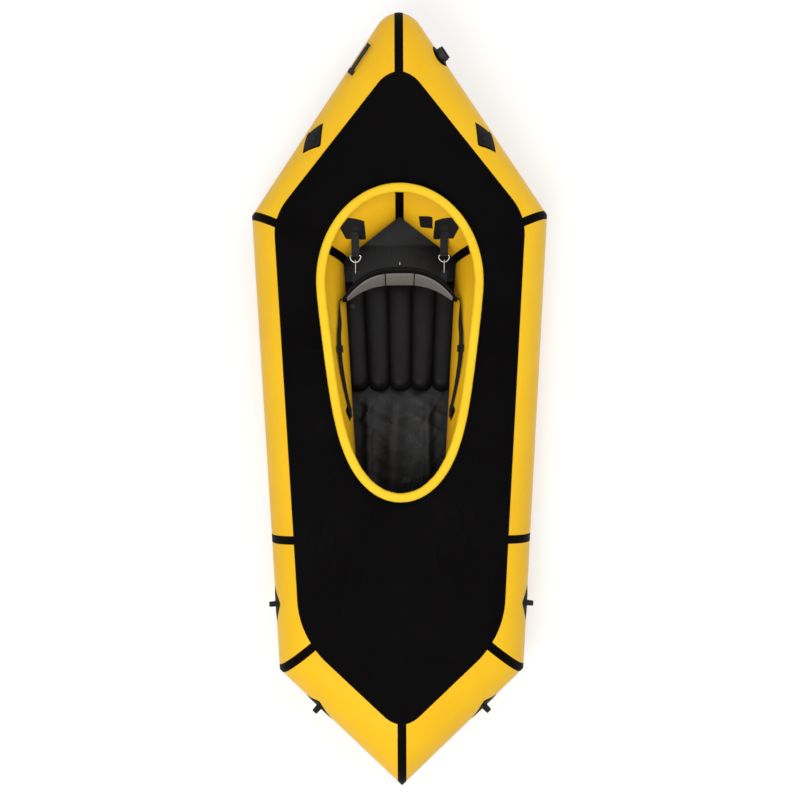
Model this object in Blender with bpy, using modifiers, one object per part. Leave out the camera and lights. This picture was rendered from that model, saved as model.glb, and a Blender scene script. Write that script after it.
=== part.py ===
"""Inflatable packraft with a fitted spray deck.

The hull is one ring of coated fabric tube in eight straight panels. Its plan is an outer line
and an inner line, and every panel is lofted between sections called rings. A ring runs from a
point of the outer line to a point of the inner line and has its own height. The seam tapes, the
floor and the deck follow the same rings at a small distance, so they lie parallel to the tube.

Metres, +Z up, bow towards -Y, stern towards +Y. The origin is on the ground under the middle.
"""

import math

import bmesh
import bpy
from mathutils import Matrix, Vector

# Clearances
GAP = 0.0003
SWING_GAP = 0.0008
OVERRUN = 0.010

# Outer line of the hull, right half, as half widths and places along the boat
STERN_POINT_Y = 1.2280
STERN_NOSE_RADIUS = 0.080
NOSE_TURN_SHARES = (0.58, 1.0)
REAR_CORNER_X = 0.471
REAR_CORNER_Y = 0.5730
SIDE_SEAM_X = 0.413
SIDE_SEAM_Y = -0.4510
FRONT_CORNER_X = 0.386
FRONT_CORNER_Y = -0.8630
BOW_TIP_Y = -1.1720

# Widths of the tube between its outer and inner lines
SIDE_TUBE_WIDTH = 0.282
STERN_TUBE_FOOT_WIDTH = 0.316
STERN_TUBE_TIP_WIDTH = 0.387
BOW_TUBE_FOOT_WIDTH = 0.345
BOW_TUBE_TIP_WIDTH = 0.335

# Heights of the tube at its seams
SIDE_TUBE_HEIGHT = 0.287
REAR_CORNER_HEIGHT = 0.300
STERN_SEAM_HEIGHT = 0.335
FRONT_CORNER_HEIGHT = 0.305
BOW_SEAM_HEIGHT = 0.318

# Climb of the tube towards both ends, as rise over length
STERN_CLIMB_SHARE = 0.15
FRONT_CLIMB_SHARE = 0.05
BOW_CLIMB_SHARE = 0.31

# Hull fabric
TUBE_WALL = 0.0010
TAPE_THICKNESS = 0.0010
TAPE_WIDTH = 0.026
TUBE_FACETS = 24

# Floor sheet
FLOOR_THICKNESS = 0.0015
FLOOR_EDGE_FACETS = 2
FLOOR_ROW_SHARES = (0.34, 0.67, 1.0)

# Deck sheet: the line of its edge on the tube and the folds of its corners
DECK_THICKNESS = 0.0010
DECK_LIFT = 0.0026
DECK_STERN_INSET = 0.0825
DECK_STERN_SETBACK = 0.231
DECK_SIDE_INSET = 0.083
DECK_BOW_INSET = 0.145
DECK_STERN_RADIUS = 0.083
DECK_REAR_RADIUS = 0.160
DECK_FRONT_RADIUS = 0.250
DECK_BOW_RADIUS = 0.083
DECK_TUBE_ROWS = 5
DECK_ROW_SHARES = (0.2, 0.5, 0.8)
DECK_SEAM_ALLOWANCE = 0.008

# Cockpit opening, on the middle line of the coaming
COCKPIT_HALF_WIDTH = 0.2376
COCKPIT_WIDEST_Y = 0.3420
COCKPIT_REAR_Y = 0.6230
COCKPIT_FRONT_Y = -0.3100
COCKPIT_TAPER_SHARE = 0.34
COCKPIT_EASE_SHARE = 0.08
COCKPIT_NOSE_POWER = 6
COCKPIT_CENTRE_Y = 0.2220

# Coaming
COAMING_REAR_CLEARANCE = 0.008
COAMING_FRONT_RISE = 0.022
SKIRT_THICKNESS = 0.0015
SKIRT_HEIGHT = 0.020
SKIRT_DROP = 0.010
SLEEVE_WIDTH = 0.028
SLEEVE_HEIGHT = 0.019
SLEEVE_WALL = 0.0012
ROD_DIAMETER = 0.012
ROD_SIDES = 6
SLEEVE_SIDES = 9

# Seat pad
SEAT_CHAMBERS = 5
SEAT_PITCH_REAR = 0.0800
SEAT_PITCH_FRONT = 0.0690
SEAT_REAR_Y = 0.3770
SEAT_FRONT_Y = 0.0120
SEAT_HEIGHT = 0.080
SEAT_VALLEY_SHARE = 0.62
SEAT_COLUMNS = 5
SEAT_END_SHARES = (0.0, 0.02, 0.06, 0.14, 0.32, 0.5, 0.68, 0.86, 0.94, 0.98, 1.0)
SEAT_END_DEPTH = 0.026
SEAT_SMOOTH_DEGREES = 60

# Seat valve, on the crest of the left outer chamber
SEAT_VALVE_Y = 0.2920
SEAT_VALVE_FLANGE_RADIUS = 0.0095
SEAT_VALVE_FLANGE_THICKNESS = 0.0015
SEAT_VALVE_STEM_RADIUS = 0.0060
SEAT_VALVE_STEM_HEIGHT = 0.010
SEAT_VALVE_BORE_RADIUS = 0.0035
SEAT_PLUG_WALL = 0.0015
SEAT_PLUG_PEG_LENGTH = 0.0060

# Backband
BAND_HALF_WIDTH = 0.1785
BAND_CENTRE_Y = 0.3870
BAND_DEPTH = 0.093
BAND_CURVE_POWER = 2.8
BAND_BOTTOM_Z = 0.108
BAND_TOP_Z = 0.266
BAND_TIP_BOTTOM_Z = 0.222
BAND_TIP_TOP_Z = 0.250
BAND_THICKNESS = 0.016
BAND_LEAN_SHARE = 0.19
BAND_TIP_THICKNESS = 0.010
BAND_HEM_SHARE = 0.08
BAND_HEM_EDGE_SHARE = 0.33
BAND_TAPER_POWER = 3
BAND_PLACE_SHARES = (0.0, 0.13, 0.45, 0.62, 1.0)
LINING_THICKNESS = 0.0020
LINING_END_SHARE = 0.95
LINING_SEAM_SHARES = (0.25, 0.27)
WEBBING_THICKNESS = 0.0016
BAND_WEBBING_WIDTH = 0.025
BAND_WEBBING_END_SHARE = 0.84

# Wire hook at the middle of the backband's webbing
CENTRE_HOOK_WIRE = 0.0024
CENTRE_HOOK_RADIUS = 0.0065
CENTRE_HOOK_LENGTH = 0.026

# Rear straps with their rings and hooks
REAR_STRAP_X = 0.138
STRAP_WIDTH = 0.020
REAR_STRAP_WIDTH = 0.025
INNER_PATCH_Y = 0.5120
INNER_PATCH_HALF_ALONG = 0.040
INNER_PATCH_HALF_AROUND = 0.070
SPARE_PATCH_X = 0.081
SPARE_PATCH_Y = 0.5370
SPARE_PATCH_HALF = 0.025
STRAP_FOOT_LENGTH = 0.030
STRAP_DROP = 0.0155
STRAP_STANDOFF = 0.006
RING_BAR_Y = 0.4360
RING_WIRE = 0.0035
RING_HALF_WIDTH = 0.0165
RING_DEPTH = 0.0215
RING_PLAY = 0.0046
RING_DROOP_DEGREES = 15
RING_ARC_STEPS = 8
STRAP_LOOP_STEPS = 8
HOOK_WIRE = 0.0028
HOOK_HALF_HEIGHT = 0.0065
HOOK_LENGTH = 0.044
HOOK_ARC_STEPS = 6
GATE_LENGTH = 0.0125
TAB_WIDTH = 0.018
TAB_THICKNESS = 0.0018
TAB_EYE_CLEARANCE = 0.0006
TAB_MARGIN = 0.0095

# Front straps with their sliding buckles
FRONT_STRAP_REACH = 0.007
FRONT_STRAP_PLACES = (
    (0.227, 146),
    (0.182, 143),
    (0.112, 143),
    (0.037, 149),
    (-0.028, 157),
    (-0.068, 163),
)
FRONT_STRAP_LIFT = 0.0035
FRONT_STRAP_BUCKLE_LIFT = 0.0065
FRONT_PATCH_HALF_ALONG = 0.034
FRONT_PATCH_HALF_AROUND = 0.024
BUCKLE_LENGTH = 0.022
BUCKLE_WIDTH = 0.027
BUCKLE_THICKNESS = 0.0060
BUCKLE_CLEARANCE = 0.0005
BUCKLE_WINDOW_LENGTH = 0.006

# Tie-down patches and their loops
PATCH_LIFT = 0.0006
PATCH_THICKNESS = 0.0012
PATCH_HALF_ALONG = 0.054
PATCH_HALF_AROUND = 0.044
PATCH_TIP = 0.0015
PATCH_ROW_SHARES = (-1.0, -0.67, -0.33, 0.0, 0.33, 0.67, 1.0)
STERN_PATCH_SHARE = 0.54
STERN_PATCH_DEGREES = 43
SIDE_PATCH_SHARE = 0.50
SIDE_PATCH_DEGREES = 16
BOW_PATCH_SHARE = 0.33
BOW_PATCH_DEGREES = 17
LOOP_WIDTH = 0.015
LOOP_SPAN = 0.018
LOOP_HEIGHT = 0.020
LOOP_FOOT = 0.007
LOOP_STEPS = 6
LOOP_FULLNESS_POWER = 0.6

# Main valve on the right stern tube
VALVE_SHARE = 0.1469
VALVE_OFF_DECK = 0.1823
VALVE_PATCH_RADIUS = 0.034
VALVE_FLANGE_RADIUS = 0.0265
VALVE_FLANGE_THICKNESS = 0.0022
VALVE_FLANGE_CLEARANCE = 0.0010
VALVE_BARREL_RADIUS = 0.0195
VALVE_BARREL_HEIGHT = 0.0115
VALVE_NECK_RADIUS = 0.0175
VALVE_NECK_DEPTH = 0.010
VALVE_BORE_RADIUS = 0.0155
VALVE_SEAT_RADIUS = 0.0120
VALVE_SEAT_THICKNESS = 0.0020
VALVE_HUB_RADIUS = 0.0048
VALVE_HUB_BORE_RADIUS = 0.0027
VALVE_WEB_THICKNESS = 0.0022
VALVE_WEB_HEIGHT = 0.0030
VALVE_WEB_COUNT = 3
VALVE_STEM_RADIUS = 0.0022
VALVE_BUTTON_RADIUS = 0.0055
VALVE_BUTTON_THICKNESS = 0.0018
VALVE_BUTTON_TRAVEL = 0.0040
VALVE_DISC_RADIUS = 0.0145
VALVE_DISC_THICKNESS = 0.0018
CAP_WALL = 0.0025
CAP_TOP_THICKNESS = 0.0025
CAP_FOOT_GAP = 0.0010
CAP_GRIP_HEIGHT = 0.0050
CAP_GRIP_THICKNESS = 0.0040
CAP_GRIP_SHARE = 0.92

# Top-off mouth tube on the left stern tube
MOUTH_BASE_SHARE = 0.1900
MOUTH_BASE_OFF_DECK = 0.1236
MOUTH_FLANGE_RADIUS = 0.016
MOUTH_FLANGE_THICKNESS = 0.0015
MOUTH_SADDLE_LENGTH = 0.016
MOUTH_SADDLE_WALL = 0.0025
MOUTH_TUBE_RADIUS = 0.0060
MOUTH_TUBE_BORE_RADIUS = 0.0040
MOUTH_TUBE_LENGTH = 0.078
MOUTH_TUBE_ENTRY = 0.010
MOUTHPIECE_RADIUS = 0.0066
MOUTHPIECE_LENGTH = 0.020
MOUTHPIECE_BORE_RADIUS = 0.0020
MOUTHPIECE_SPIGOT_RADIUS = 0.0035
MOUTHPIECE_SPIGOT_LENGTH = 0.010
MOUTHPIECE_LIP_SHARE = 0.75

# Turned pieces
TURNED_STEPS = 24
SMALL_TURNED_STEPS = 16

# Colours
YELLOW = (0.93, 0.56, 0.045)
BRIGHT_YELLOW = (0.98, 0.66, 0.06)
BLACK_FABRIC = (0.012, 0.012, 0.013)
BLACK_SHEET = (0.008, 0.008, 0.009)
WEBBING_GREY = (0.045, 0.045, 0.048)
LINING_GREY = (0.30, 0.29, 0.28)
BLACK_PLASTIC = (0.015, 0.015, 0.016)
STEEL = (0.60, 0.60, 0.61)


def remove_everything():
    for item in list(bpy.data.objects):
        bpy.data.objects.remove(item)


def make_collection(name):
    collection = bpy.data.collections.new(name)
    bpy.context.scene.collection.children.link(collection)
    return collection


def make_material(name, colour, roughness, metallic=0.0):
    material = bpy.data.materials.new(name)
    material.use_nodes = True
    shader = material.node_tree.nodes["Principled BSDF"]
    shader.inputs["Base Color"].default_value = (*colour, 1.0)
    shader.inputs["Roughness"].default_value = roughness
    shader.inputs["Metallic"].default_value = metallic
    return material


def add_object(name, mesh, material, collection, smooth_degrees=35.0):
    mesh.materials.clear()
    mesh.materials.append(material)
    mesh.shade_smooth()
    mesh.set_sharp_from_angle(angle=math.radians(smooth_degrees))
    item = bpy.data.objects.new(name, mesh)
    collection.objects.link(item)
    return item


def mesh_from(name, points, faces, outward=True):
    """A mesh from points and faces, with doubled points merged and its faces turned outwards."""
    mesh = bpy.data.meshes.new(name)
    mesh.from_pydata([tuple(point) for point in points], [], faces)
    work = bmesh.new()
    work.from_mesh(mesh)
    bmesh.ops.remove_doubles(work, verts=work.verts, dist=GAP / 10)
    bmesh.ops.dissolve_degenerate(work, edges=work.edges, dist=GAP / 10)
    if outward:
        bmesh.ops.recalc_face_normals(work, faces=work.faces)
    work.to_mesh(mesh)
    work.free()
    return mesh


def loft_faces(rows, columns, wrap_rows=False, wrap_columns=True):
    """Quads between the rows of a grid of points, which is stored row after row."""
    faces = []
    for row in range(rows if wrap_rows else rows - 1):
        below = row * columns
        above = ((row + 1) % rows) * columns
        for column in range(columns if wrap_columns else columns - 1):
            after = (column + 1) % columns
            faces.append((below + column, below + after, above + after, above + column))
    return faces


def loft(name, rings, wrap_rings=False, capped=False):
    """A surface through rings of equally many points; capped closes the first and last ring."""
    columns = len(rings[0])
    points = [point for ring in rings for point in ring]
    faces = loft_faces(len(rings), columns, wrap_rows=wrap_rings)
    if capped:
        faces.append(tuple(reversed(range(columns))))
        faces.append(tuple(range(len(points) - columns, len(points))))
    return mesh_from(name, points, faces)


def mirrored_mesh(mesh, name):
    """The same mesh on the left side of the boat."""
    copy = mesh.copy()
    copy.name = name
    copy.transform(Matrix.Scale(-1, 4, Vector((1, 0, 0))))
    copy.flip_normals()
    return copy


def add_pair(name, mesh, material, collection):
    """A right-hand piece and its mirror image on the left."""
    right = add_object(name + "_right", mesh, material, collection)
    left = add_object(name + "_left", mirrored_mesh(mesh, name + "_left"), material, collection)
    return right, left


# Plan of the hull


def line_direction(start, end):
    return (end - start).normalized()


def inward_normal(start, end):
    """The plan normal towards the inside, for a line of the right half run from stern to bow."""
    direction = line_direction(start, end)
    return Vector((direction.y, -direction.x))


def crossing(first, first_direction, second, second_direction):
    """Where two plan lines cross."""
    spread = first_direction.x * second_direction.y - first_direction.y * second_direction.x
    away = second - first
    share = (away.x * second_direction.y - away.y * second_direction.x) / spread
    return first + first_direction * share


STERN_POINT = Vector((0.0, STERN_POINT_Y))
REAR_CORNER = Vector((REAR_CORNER_X, REAR_CORNER_Y))
SIDE_SEAM = Vector((SIDE_SEAM_X, SIDE_SEAM_Y))
FRONT_CORNER = Vector((FRONT_CORNER_X, FRONT_CORNER_Y))
BOW_TIP = Vector((0.0, BOW_TIP_Y))


def inset_corner(before, corner, after, inset_before, inset_after):
    """Where the lines either side of a corner cross once each is moved inwards."""
    return crossing(
        corner + inward_normal(before, corner) * inset_before,
        line_direction(before, corner),
        corner + inward_normal(corner, after) * inset_after,
        line_direction(corner, after),
    )


def tip_setback(tip, corner, width):
    """How far along the middle line a tube of this width reaches in from its tip."""
    return width / abs(line_direction(tip, corner).x)


class Ring:
    """A section of the tube from its outer line to its inner line, with its half height."""

    def __init__(self, outer, inner, half_height):
        self.outer = outer
        self.inner = inner
        self.half_height = half_height

    def point(self, angle, offset=0.0):
        """A point at an angle: 0 is outermost, a quarter turn is the top. Offset grows the ring."""
        grow = 1 + offset / self.half_height
        middle = (self.outer + self.inner) / 2
        reach = (self.outer - self.inner) / 2
        rise = Vector((0, 0, self.half_height))
        return middle + (reach * math.cos(angle) + rise * math.sin(angle)) * grow

    def between(self, other, share):
        return Ring(
            self.outer.lerp(other.outer, share),
            self.inner.lerp(other.inner, share),
            self.half_height + (other.half_height - self.half_height) * share,
        )

    def loop(self, offset=0.0):
        return [self.point(math.tau * step / TUBE_FACETS, offset) for step in range(TUBE_FACETS)]


UNDERSIDE = FLOOR_THICKNESS + GAP + TAPE_THICKNESS + GAP


def raised(point, half_height, climb):
    return Vector((point.x, point.y, UNDERSIDE + half_height + climb))


def rear_corner_ring():
    half_height = REAR_CORNER_HEIGHT / 2
    inner = inset_corner(
        STERN_POINT, REAR_CORNER, SIDE_SEAM, STERN_TUBE_FOOT_WIDTH, SIDE_TUBE_WIDTH
    )
    return Ring(raised(REAR_CORNER, half_height, 0), raised(inner, half_height, 0), half_height)


def side_seam_ring():
    half_height = SIDE_TUBE_HEIGHT / 2
    inner = inset_corner(REAR_CORNER, SIDE_SEAM, FRONT_CORNER, SIDE_TUBE_WIDTH, SIDE_TUBE_WIDTH)
    return Ring(raised(SIDE_SEAM, half_height, 0), raised(inner, half_height, 0), half_height)


def front_corner_ring(side):
    half_height = FRONT_CORNER_HEIGHT / 2
    inner = inset_corner(SIDE_SEAM, FRONT_CORNER, BOW_TIP, SIDE_TUBE_WIDTH, BOW_TUBE_FOOT_WIDTH)
    outer_climb = FRONT_CLIMB_SHARE * (FRONT_CORNER - SIDE_SEAM).length
    inner_climb = FRONT_CLIMB_SHARE * (inner - side.inner.to_2d()).length
    return Ring(
        raised(FRONT_CORNER, half_height, outer_climb),
        raised(inner, half_height, inner_climb),
        half_height,
    )


def bow_seam_ring(front):
    half_height = BOW_SEAM_HEIGHT / 2
    setback = tip_setback(BOW_TIP, FRONT_CORNER, BOW_TUBE_TIP_WIDTH)
    inner = Vector((0.0, BOW_TIP_Y + setback))
    outer_base = front.outer.z - front.half_height - UNDERSIDE
    inner_base = front.inner.z - front.half_height - UNDERSIDE
    outer_climb = outer_base + BOW_CLIMB_SHARE * (BOW_TIP - FRONT_CORNER).length
    inner_climb = inner_base + BOW_CLIMB_SHARE * (inner - front.inner.to_2d()).length
    return Ring(
        raised(BOW_TIP, half_height, outer_climb), raised(inner, half_height, inner_climb), half_height
    )


SIDES = (("right", 1), ("left", -1))


def stern_rings(rear):
    """Rings across the round nose of the stern, each in a plane along the boat, then the rear
    corner. The first lies on the seam and the second at the edge of the seam tape."""
    slope = line_direction(STERN_POINT, REAR_CORNER)
    outward = -inward_normal(STERN_POINT, REAR_CORNER)
    centre = Vector((0.0, STERN_POINT_Y - STERN_NOSE_RADIUS / abs(slope.x)))
    full_turn = math.pi / 2 - math.atan2(outward.y, outward.x)
    setback = tip_setback(STERN_POINT, REAR_CORNER, STERN_TUBE_TIP_WIDTH)
    inner_tip = Vector((0.0, STERN_POINT_Y - setback))
    inner_corner = rear.inner.to_2d()
    tape_share = math.asin(TAPE_WIDTH / 2 / STERN_NOSE_RADIUS) / full_turn
    rings = []
    for turn_share in (0.0, tape_share, *NOSE_TURN_SHARES):
        turn = full_turn * turn_share
        outer = centre + Vector((math.sin(turn), math.cos(turn))) * STERN_NOSE_RADIUS
        share = outer.x / inner_corner.x
        inner = inner_tip.lerp(inner_corner, share)
        half_height = STERN_SEAM_HEIGHT / 2 + (rear.half_height - STERN_SEAM_HEIGHT / 2) * share
        outer_climb = STERN_CLIMB_SHARE * (outer - REAR_CORNER).length
        inner_climb = STERN_CLIMB_SHARE * (inner - inner_corner).length
        rings.append(
            Ring(
                raised(outer, half_height, outer_climb),
                raised(inner, half_height, inner_climb),
                half_height,
            )
        )
    return rings


REAR_RING = rear_corner_ring()
SIDE_RING = side_seam_ring()
FRONT_RING = front_corner_ring(SIDE_RING)
BOW_RING = bow_seam_ring(FRONT_RING)
NOSE_RINGS = stern_rings(REAR_RING)


def near_ring(ring, far, distance):
    """The section of the tube at a distance from a ring's plane, on the way to a far ring."""
    normal = seam_normal(ring)
    outer_share = distance / abs((far.outer - ring.outer).dot(normal))
    inner_share = distance / abs((far.inner - ring.outer).dot(normal))
    mean = (outer_share + inner_share) / 2
    return Ring(
        ring.outer.lerp(far.outer, outer_share),
        ring.inner.lerp(far.inner, inner_share),
        ring.half_height + (far.half_height - ring.half_height) * mean,
    )


def seam_normal(ring):
    """The plan normal of a ring's upright plane."""
    reach = ring.outer - ring.inner
    return Vector((-reach.y, reach.x, 0)).normalized()


def panel_rings(start, end, count):
    """Rings from one seam to the next: the seam, the edge of its tape, evenly spaced ones, and
    the same again at the far end."""
    first = near_ring(start, end, TAPE_WIDTH / 2)
    last = near_ring(end, start, TAPE_WIDTH / 2)
    between = [first.between(last, step / count) for step in range(1, count)]
    return [start, first, *between, last, end]


COLUMN_COUNTS = {"stern": 3, "rear_side": 7, "front_side": 3, "bow": 3}

NOSE_END = NOSE_RINGS[-1]
STRAIGHT_STERN = panel_rings(NOSE_END, REAR_RING, COLUMN_COUNTS["stern"])
PANELS = {
    "stern_tube": [*NOSE_RINGS, *STRAIGHT_STERN[2:]],
    "rear_side_tube": panel_rings(REAR_RING, SIDE_RING, COLUMN_COUNTS["rear_side"]),
    "front_side_tube": panel_rings(SIDE_RING, FRONT_RING, COLUMN_COUNTS["front_side"]),
    "bow_tube": panel_rings(FRONT_RING, BOW_RING, COLUMN_COUNTS["bow"]),
}
STRAIGHT_PANELS = ("rear_side_tube", "front_side_tube")


def panel_loops(name, offset):
    """Loops of one panel, drawn back from its neighbours at both seams."""
    rings = PANELS[name]
    if name in STRAIGHT_PANELS:
        rings = rings[:2] + rings[-2:]
    first = near_ring(rings[0], rings[1], GAP / 2)
    last = near_ring(rings[-1], rings[-2], GAP / 2)
    return [ring.loop(offset) for ring in (first, *rings[1:-1], last)]


def build_tubes(material, collection):
    made = {}
    for name in PANELS:
        loops = panel_loops(name, 0.0) + list(reversed(panel_loops(name, -TUBE_WALL)))
        made[name] = add_pair(name, loft(name, loops, wrap_rings=True), material, collection)
    return made


def mirrored_ring(ring):
    flip = Vector((-1, 1, 1))
    return Ring(ring.outer * flip, ring.inner * flip, ring.half_height)


def build_tapes(material, collection):
    """Bands of tape round the tube, over each seam."""
    stern, rear, front, bow = PANELS.values()
    seams = {
        "stern_seam_tape": (mirrored_ring(stern[1]), stern[0], stern[1]),
        "rear_corner_tape": (stern[-2], rear[0], rear[1]),
        "side_seam_tape": (rear[-2], front[0], front[1]),
        "front_corner_tape": (front[-2], bow[0], bow[1]),
        "bow_seam_tape": (bow[-2], bow[-1], mirrored_ring(bow[-2])),
    }
    for name, rings in seams.items():
        under = [ring.loop(GAP) for ring in rings]
        over = [ring.loop(GAP + TAPE_THICKNESS) for ring in rings]
        mesh = loft(name, over + list(reversed(under)), wrap_rings=True)
        if rings[1].outer.x > GAP:
            add_pair(name, mesh, material, collection)
        else:
            add_object(name, mesh, material, collection)


def sheet_columns():
    """Rings at all the columns of the deck and the floor, right half, from stern to bow."""
    columns = []
    for rings in PANELS.values():
        columns += rings[1:] if columns else rings
    return columns


COLUMNS = sheet_columns()


def open_grid(name, columns):
    """An open surface from columns of equally many points, on the right side of the boat."""
    rows = len(columns[0])
    points = [point for column in columns for point in column]
    faces = loft_faces(len(columns), rows, wrap_columns=False)
    return mesh_from(name, points, faces, outward=False)


def add_mirror(item):
    mirror = item.modifiers.new("mirror", "MIRROR")
    mirror.use_axis = (True, False, False)
    mirror.merge_threshold = GAP / 10
    return mirror


def add_solidify(item, thickness, direction):
    wall = item.modifiers.new("wall", "SOLIDIFY")
    wall.thickness = thickness
    wall.offset = direction
    wall.use_even_offset = True
    return wall


def build_floor(material, collection):
    """The floor sheet: up round the underside of the tube, and flat between its two sides."""
    lift = GAP + TAPE_THICKNESS + GAP
    columns = []
    for ring in COLUMNS:
        facet = math.tau / TUBE_FACETS
        wrap = [-math.pi / 2 + facet * step for step in range(FLOOR_EDGE_FACETS, -1, -1)]
        column = [ring.point(angle, lift) for angle in wrap]
        foot = column[-1]
        column += [Vector((foot.x * (1 - share), foot.y, foot.z)) for share in FLOOR_ROW_SHARES]
        columns.append(column)
    item = add_object("floor_sheet", open_grid("floor_sheet", columns), material, collection)
    add_mirror(item)
    add_solidify(item, FLOOR_THICKNESS, -1)
    return item


# Line of the deck edge in plan


def fillet(before, corner, after, radius, steps=8):
    """Points of an arc that rounds a corner of a plan line."""
    to_before = line_direction(corner, before)
    to_after = line_direction(corner, after)
    half = to_before.angle(to_after) / 2
    centre = corner + (to_before + to_after).normalized() * (radius / math.sin(half))
    start = corner + to_before * (radius / math.tan(half)) - centre
    end = corner + to_after * (radius / math.tan(half)) - centre
    turn = math.atan2(start.cross(end), start.dot(end))
    return [centre + Matrix.Rotation(turn * step / steps, 2) @ start for step in range(steps + 1)]


def deck_edge_line():
    """The rounded edge line of the deck, right half, with a little of the left at each end."""
    stern = Vector((0.0, STERN_POINT_Y - DECK_STERN_SETBACK))
    rear = inset_corner(STERN_POINT, REAR_CORNER, SIDE_SEAM, DECK_STERN_INSET, DECK_SIDE_INSET)
    side = inset_corner(REAR_CORNER, SIDE_SEAM, FRONT_CORNER, DECK_SIDE_INSET, DECK_SIDE_INSET)
    front = inset_corner(SIDE_SEAM, FRONT_CORNER, BOW_TIP, DECK_SIDE_INSET, DECK_BOW_INSET)
    bow = Vector((0.0, BOW_TIP_Y + tip_setback(BOW_TIP, FRONT_CORNER, DECK_BOW_INSET)))
    flip = Vector((-1, 1))
    line = fillet(rear * flip, stern, rear, DECK_STERN_RADIUS)
    line += fillet(stern, rear, side, DECK_REAR_RADIUS)
    line += [side]
    line += fillet(side, front, bow, DECK_FRONT_RADIUS)
    line += fillet(front, bow, front * flip, DECK_BOW_RADIUS)
    return line


DECK_EDGE = deck_edge_line()


def edge_angle(ring):
    """The angle round a ring at which it passes under the edge line of the deck."""
    outer = ring.outer.to_2d()
    reach = ring.inner.to_2d() - outer
    for start, end in zip(DECK_EDGE, DECK_EDGE[1:]):
        along = end - start
        spread = reach.x * along.y - reach.y * along.x
        if abs(spread) < GAP * GAP:
            continue
        away = start - outer
        share = (away.x * along.y - away.y * along.x) / spread
        place = (away.x * reach.y - away.y * reach.x) / spread
        if 0 <= share <= 1 and -GAP <= place <= 1 + GAP:
            return math.acos(1 - 2 * share)
    raise ValueError("the deck edge line misses a ring of the hull")


# Cockpit opening and coaming


def cockpit_half_line(steps=160):
    """The pear outline of the cockpit, right half, from its rear to its front.

    The rear is a quarter ellipse. The front narrows steadily and then closes in a blunt nose.
    """
    line = []
    rear_length = COCKPIT_REAR_Y - COCKPIT_WIDEST_Y
    front_length = COCKPIT_WIDEST_Y - COCKPIT_FRONT_Y
    for step in range(steps):
        angle = math.pi / 2 * step / steps
        x = COCKPIT_HALF_WIDTH * math.sin(angle)
        line.append(Vector((x, COCKPIT_WIDEST_Y + rear_length * math.cos(angle))))
    for step in range(steps + 1):
        share = math.sin(math.pi / 2 * step / steps)
        narrow = COCKPIT_TAPER_SHARE * share * share / (share + COCKPIT_EASE_SHARE)
        nose = math.sqrt(max(0.0, 1 - share**COCKPIT_NOSE_POWER))
        x = COCKPIT_HALF_WIDTH * (1 - narrow) * nose
        line.append(Vector((x, COCKPIT_WIDEST_Y - front_length * share)))
    return line


COCKPIT_LINE = cockpit_half_line()


def polar(point):
    """The angle of a plan point about the middle of the cockpit, from dead ahead aft."""
    return math.atan2(point.x, COCKPIT_CENTRE_Y - point.y)


def cockpit_point(place):
    """The cockpit outline's point at an angle about the middle of the cockpit."""
    for start, end in zip(COCKPIT_LINE, COCKPIT_LINE[1:]):
        high, low = polar(start), polar(end)
        if low <= place <= high:
            return start.lerp(end, (high - place) / max(high - low, GAP * GAP))
    return COCKPIT_LINE[-1]


def beside(ring, point):
    """Which side of a ring's plan line a point is on, as a signed area."""
    reach = (ring.inner - ring.outer).to_2d()
    away = point - ring.outer.to_2d()
    return reach.x * away.y - reach.y * away.x


def hull_height(point):
    """Height of the tube's upper side over a plan point of the right half, or None beside it."""
    for start, end in zip(COLUMNS, COLUMNS[1:]):
        first, second = beside(start, point), beside(end, point)
        if first * second > 0 or first == second:
            continue
        ring = start.between(end, first / (first - second))
        middle = (ring.outer + ring.inner) / 2
        reach = (ring.outer - ring.inner) / 2
        share = (point - middle.to_2d()).dot(reach.to_2d()) / reach.to_2d().length_squared
        if abs(share) < 1:
            return middle.z + reach.z * share + ring.half_height * math.sqrt(1 - share * share)
    return None


def coaming_rear_height():
    """The least rear height that keeps the skirt clear of the tube all the way round."""
    heights = [COAMING_FRONT_Z]
    for point in COCKPIT_LINE:
        share = (point.y - COCKPIT_FRONT_Y) / (COCKPIT_REAR_Y - COCKPIT_FRONT_Y)
        under = hull_height(point)
        if share > 0 and under is not None:
            needed = under + SKIRT_DROP + COAMING_REAR_CLEARANCE
            heights.append(COAMING_FRONT_Z + (needed - COAMING_FRONT_Z) / share)
    return max(heights)


COAMING_FRONT_Z = UNDERSIDE + SIDE_TUBE_HEIGHT + COAMING_FRONT_RISE
COAMING_REAR_Z = coaming_rear_height()


def coaming_base(y):
    """Height of the deck at the foot of the coaming, on a plane that rises aft."""
    share = (y - COCKPIT_FRONT_Y) / (COCKPIT_REAR_Y - COCKPIT_FRONT_Y)
    return COAMING_FRONT_Z + (COAMING_REAR_Z - COAMING_FRONT_Z) * share


def cockpit_loop():
    """Plan points and outward normals of the cockpit outline at every column, both halves."""
    half = []
    for ring in COLUMNS:
        crest = ring.point(math.pi / 2)
        half.append(cockpit_point(polar(crest)))
    half[0] = COCKPIT_LINE[0].copy()
    half[-1] = COCKPIT_LINE[-1].copy()
    half[0].x = 0.0
    half[-1].x = 0.0
    left = [Vector((-point.x, point.y)) for point in reversed(half[1:-1])]
    points = half + left
    normals = []
    for index, point in enumerate(points):
        along = points[(index + 1) % len(points)] - points[index - 1]
        normals.append(Vector((-along.y, along.x)).normalized())
    return points, normals


COCKPIT_POINTS, COCKPIT_NORMALS = cockpit_loop()


def coaming_section(index, section):
    """One section of the coaming's rings: pairs of outward reach and height over the deck."""
    point = COCKPIT_POINTS[index]
    normal = COCKPIT_NORMALS[index]
    base = coaming_base(point.y)
    placed = []
    for reach, height in section:
        spot = point + normal * reach
        placed.append(Vector((spot.x, spot.y, base + height)))
    return placed


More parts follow.
